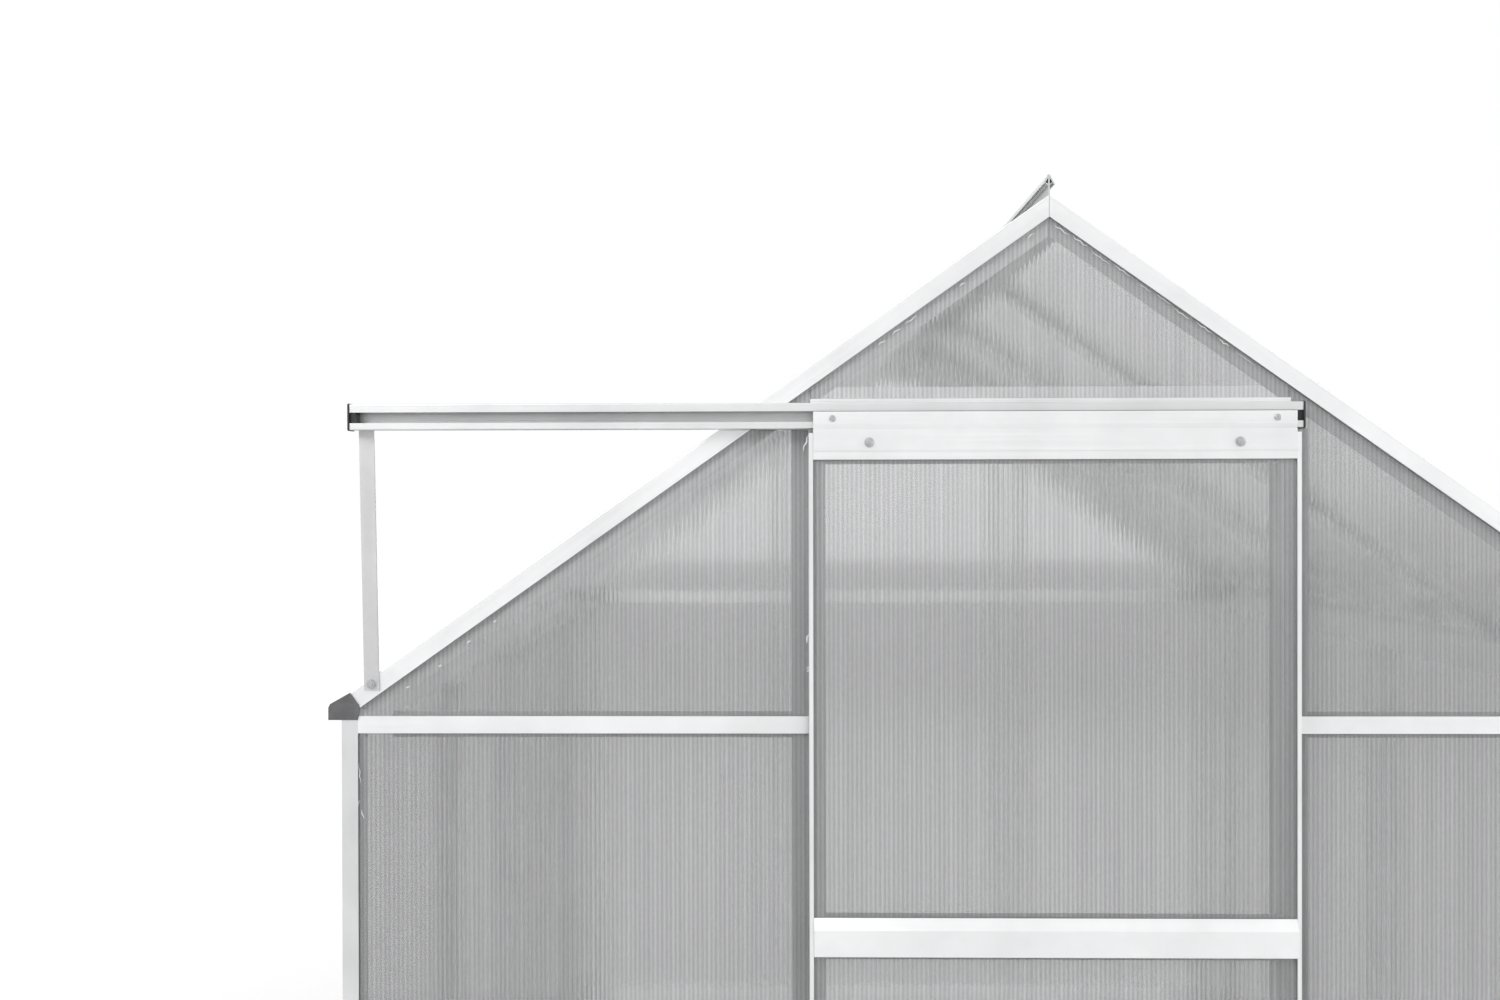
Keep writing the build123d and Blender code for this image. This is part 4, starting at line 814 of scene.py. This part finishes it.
def on_front(start, along):
    across = Vector((0, -1, 0)).cross(along)
    return Matrix.Translation(start) @ Matrix((along, across, Vector((0, -1, 0)))).transposed().to_4x4()


film_white = milky_film("torn_film")
PANE = FRONT + GROOVE
CURL = 0.0012
ridge_point = Vector((0, PANE, APEX))
gable_film = []


def caught(start, along, length, width, lift):
    gable_film.append(put(film_strip(length, width, lift), on_front(start, along)))


# Right rafter: a ragged row of strips from the ridge to where the header begins.
ROW_START = 0.03
ROW_END = 0.34
down, inward = slope_axes(1)
u = ROW_START
while u < ROW_END:
    length = random.uniform(0.008, 0.03)
    start = ridge_point + down * u + inward * random.uniform(0.0265, 0.0295)
    caught(start, down, length, random.uniform(0.0006, 0.0016), CURL)
    u += length + random.uniform(0.0, 0.012)

# Left rafter: single strips, each given by its way down the slope, its way in and its length.
SCRAP_WIDTH = 0.0014
left_caught = [
    (0.045, 0.030, 0.012), (0.158, 0.030, 0.009), (0.235, 0.029, 0.02), (0.262, 0.030, 0.014),
    (0.288, 0.031, 0.012), (0.927, 0.034, 0.006), (0.971, 0.037, 0.007), (1.022, 0.041, 0.005),
    (1.074, 0.039, 0.005)]
down, inward = slope_axes(-1)
for u, offset, length in left_caught:
    caught(ridge_point + down * u + inward * offset, down, length, SCRAP_WIDTH, CURL)

# Left post: hanging strips, each given by its inset, height, length and lean.
POST_INNER = -0.923
post_caught = [(0.0005, 1.1616, 0.027, 0.1), (0.004, 1.099, 0.012, 0.25), (0.002, 1.112, 0.008, -0.3)]
for inset, z, length, lean in post_caught:
    along = Vector((math.sin(lean), 0, -math.cos(lean)))
    caught(Vector((POST_INNER + inset, PANE, z)), along, length, 0.0011, 0.001)
gable_torn = as_one("gable_film", gable_film)

# Door stile: strips behind its edge, each given by its height, length, lean and width.
STILE_OUTER = -0.3200
STILE_PANE = FRONT - 0.034
stile_film = []
stile_caught = [
    (1.5985, 0.022, 0.35, 0.0016), (1.3400, 0.0145, 0.28, 0.0018), (1.2955, 0.004, 0.6, 0.0022),
    (1.2915, 0.004, 0.6, 0.0022)]
for z, length, lean, width in stile_caught:
    along = Vector((-math.sin(lean), 0, -math.cos(lean)))
    start = Vector((STILE_OUTER, STILE_PANE, z))
    stile_film.append(put(film_strip(length, width, 0.0008), on_front(start, along)))
stile_torn = as_one("stile_film", stile_film)
for torn, body in [(gable_torn, "frame"), (stile_torn, "door")]:
    torn.data.materials.append(film_white)
    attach(torn, body)

# Studio: a pale paper floor that fades to white away from the house and keeps its shadow, a white world,
# three soft boxes, and the camera at the photograph's place.
bpy.ops.mesh.primitive_plane_add(size=60, location=(0, 0, 0))
floor = bpy.context.object
floor.name = "studio_floor"
paper = bpy.data.materials.new("studio_paper")
paper.use_nodes = True
nodes, link = paper.node_tree.nodes, paper.node_tree.links.new
nodes["Principled BSDF"].inputs["Base Color"].default_value = (0.94, 0.94, 0.94, 1)
nodes["Principled BSDF"].inputs["Roughness"].default_value = 0.9
white = nodes.new("ShaderNodeEmission")
white.inputs["Strength"].default_value = 1.05
place = nodes.new("ShaderNodeTexCoord")
away = nodes.new("ShaderNodeVectorMath")
away.operation = "LENGTH"
link(place.outputs["Object"], away.inputs[0])
fade = nodes.new("ShaderNodeMapRange")
fade.inputs["From Min"].default_value = 1.8
fade.inputs["From Max"].default_value = 3.0
fade.inputs["To Min"].default_value = 0.48
link(away.outputs["Value"], fade.inputs["Value"])
path = nodes.new("ShaderNodeLightPath")
most = nodes.new("ShaderNodeMath")
most.operation = "MULTIPLY"
link(path.outputs["Is Camera Ray"], most.inputs[0])
link(fade.outputs["Result"], most.inputs[1])
either = nodes.new("ShaderNodeMixShader")
link(most.outputs["Value"], either.inputs["Fac"])
link(nodes["Principled BSDF"].outputs["BSDF"], either.inputs[1])
link(white.outputs["Emission"], either.inputs[2])
link(either.outputs["Shader"], nodes["Material Output"].inputs["Surface"])
floor.data.materials.append(paper)

world = bpy.data.worlds.new("studio")
bpy.context.scene.world = world
world.use_nodes = True
nodes, link = world.node_tree.nodes, world.node_tree.links.new
around = nodes["Background"]
around.inputs["Color"].default_value = (1.0, 1.0, 1.0, 1)
around.inputs["Strength"].default_value = 0.62
white = nodes.new("ShaderNodeBackground")
white.inputs["Color"].default_value = (1, 1, 1, 1)
path = nodes.new("ShaderNodeLightPath")
seen = nodes.new("ShaderNodeMath")
seen.operation = "MAXIMUM"
link(path.outputs["Is Camera Ray"], seen.inputs[0])
link(path.outputs["Is Transmission Ray"], seen.inputs[1])
mirrored = nodes.new("ShaderNodeMath")
mirrored.operation = "MAXIMUM"
link(seen.outputs["Value"], mirrored.inputs[0])
shine = nodes.new("ShaderNodeMath")
shine.operation = "MULTIPLY"
shine.inputs[1].default_value = 0.7
link(path.outputs["Is Glossy Ray"], shine.inputs[0])
link(shine.outputs["Value"], mirrored.inputs[1])
either = nodes.new("ShaderNodeMixShader")
link(mirrored.outputs["Value"], either.inputs["Fac"])
link(around.outputs["Background"], either.inputs[1])
link(white.outputs["Background"], either.inputs[2])
link(either.outputs["Shader"], nodes["World Output"].inputs["Surface"])


def soft_box(name, place, aim, size, power):
    bpy.ops.object.light_add(type="AREA", location=place)
    lamp = bpy.context.object
    lamp.name = name
    lamp.data.shape = "RECTANGLE"
    lamp.data.size, lamp.data.size_y = size
    lamp.data.energy = power
    lamp.rotation_euler = (Vector(aim) - Vector(place)).to_track_quat("-Z", "Y").to_euler()


soft_box("key_light", (-3.5, -5.0, 4.5), (0, 0, 1.2), (3.0, 3.0), 176)
soft_box("fill_light", (4.5, -4.0, 3.0), (0, 0, 1.0), (3.0, 3.0), 84)
soft_box("back_light", (1.5, 5.0, 5.0), (0, 0, 1.0), (5.0, 4.0), 80)

bpy.ops.object.camera_add()
camera = bpy.context.object
camera.name = "photo_camera"
PICTURE_WIDTH = 1500
FOCUS = 1506.8
EYE = (-0.36195, FRONT - 2.0052, 1.5233)
PAN = 0.0177
TILT = 0.0051
ROLL = 0.0022
camera.data.sensor_width = 36
camera.data.lens = FOCUS / PICTURE_WIDTH * 36
level_aim = Matrix.Rotation(PAN, 4, "Z") @ Matrix.Rotation(QUARTER - TILT, 4, "X")
camera.matrix_world = Matrix.Translation(EYE) @ level_aim @ Matrix.Rotation(-ROLL, 4, "Z")
bpy.context.scene.camera = camera
bpy.context.scene.view_settings.view_transform = "Standard"
bpy.context.scene.cycles.transparent_max_bounces = 48
bpy.context.scene.cycles.max_bounces = 10
bpy.context.scene.cycles.transmission_bounces = 7
bpy.context.scene.cycles.diffuse_bounces = 2
bpy.context.scene.cycles.glossy_bounces = 2
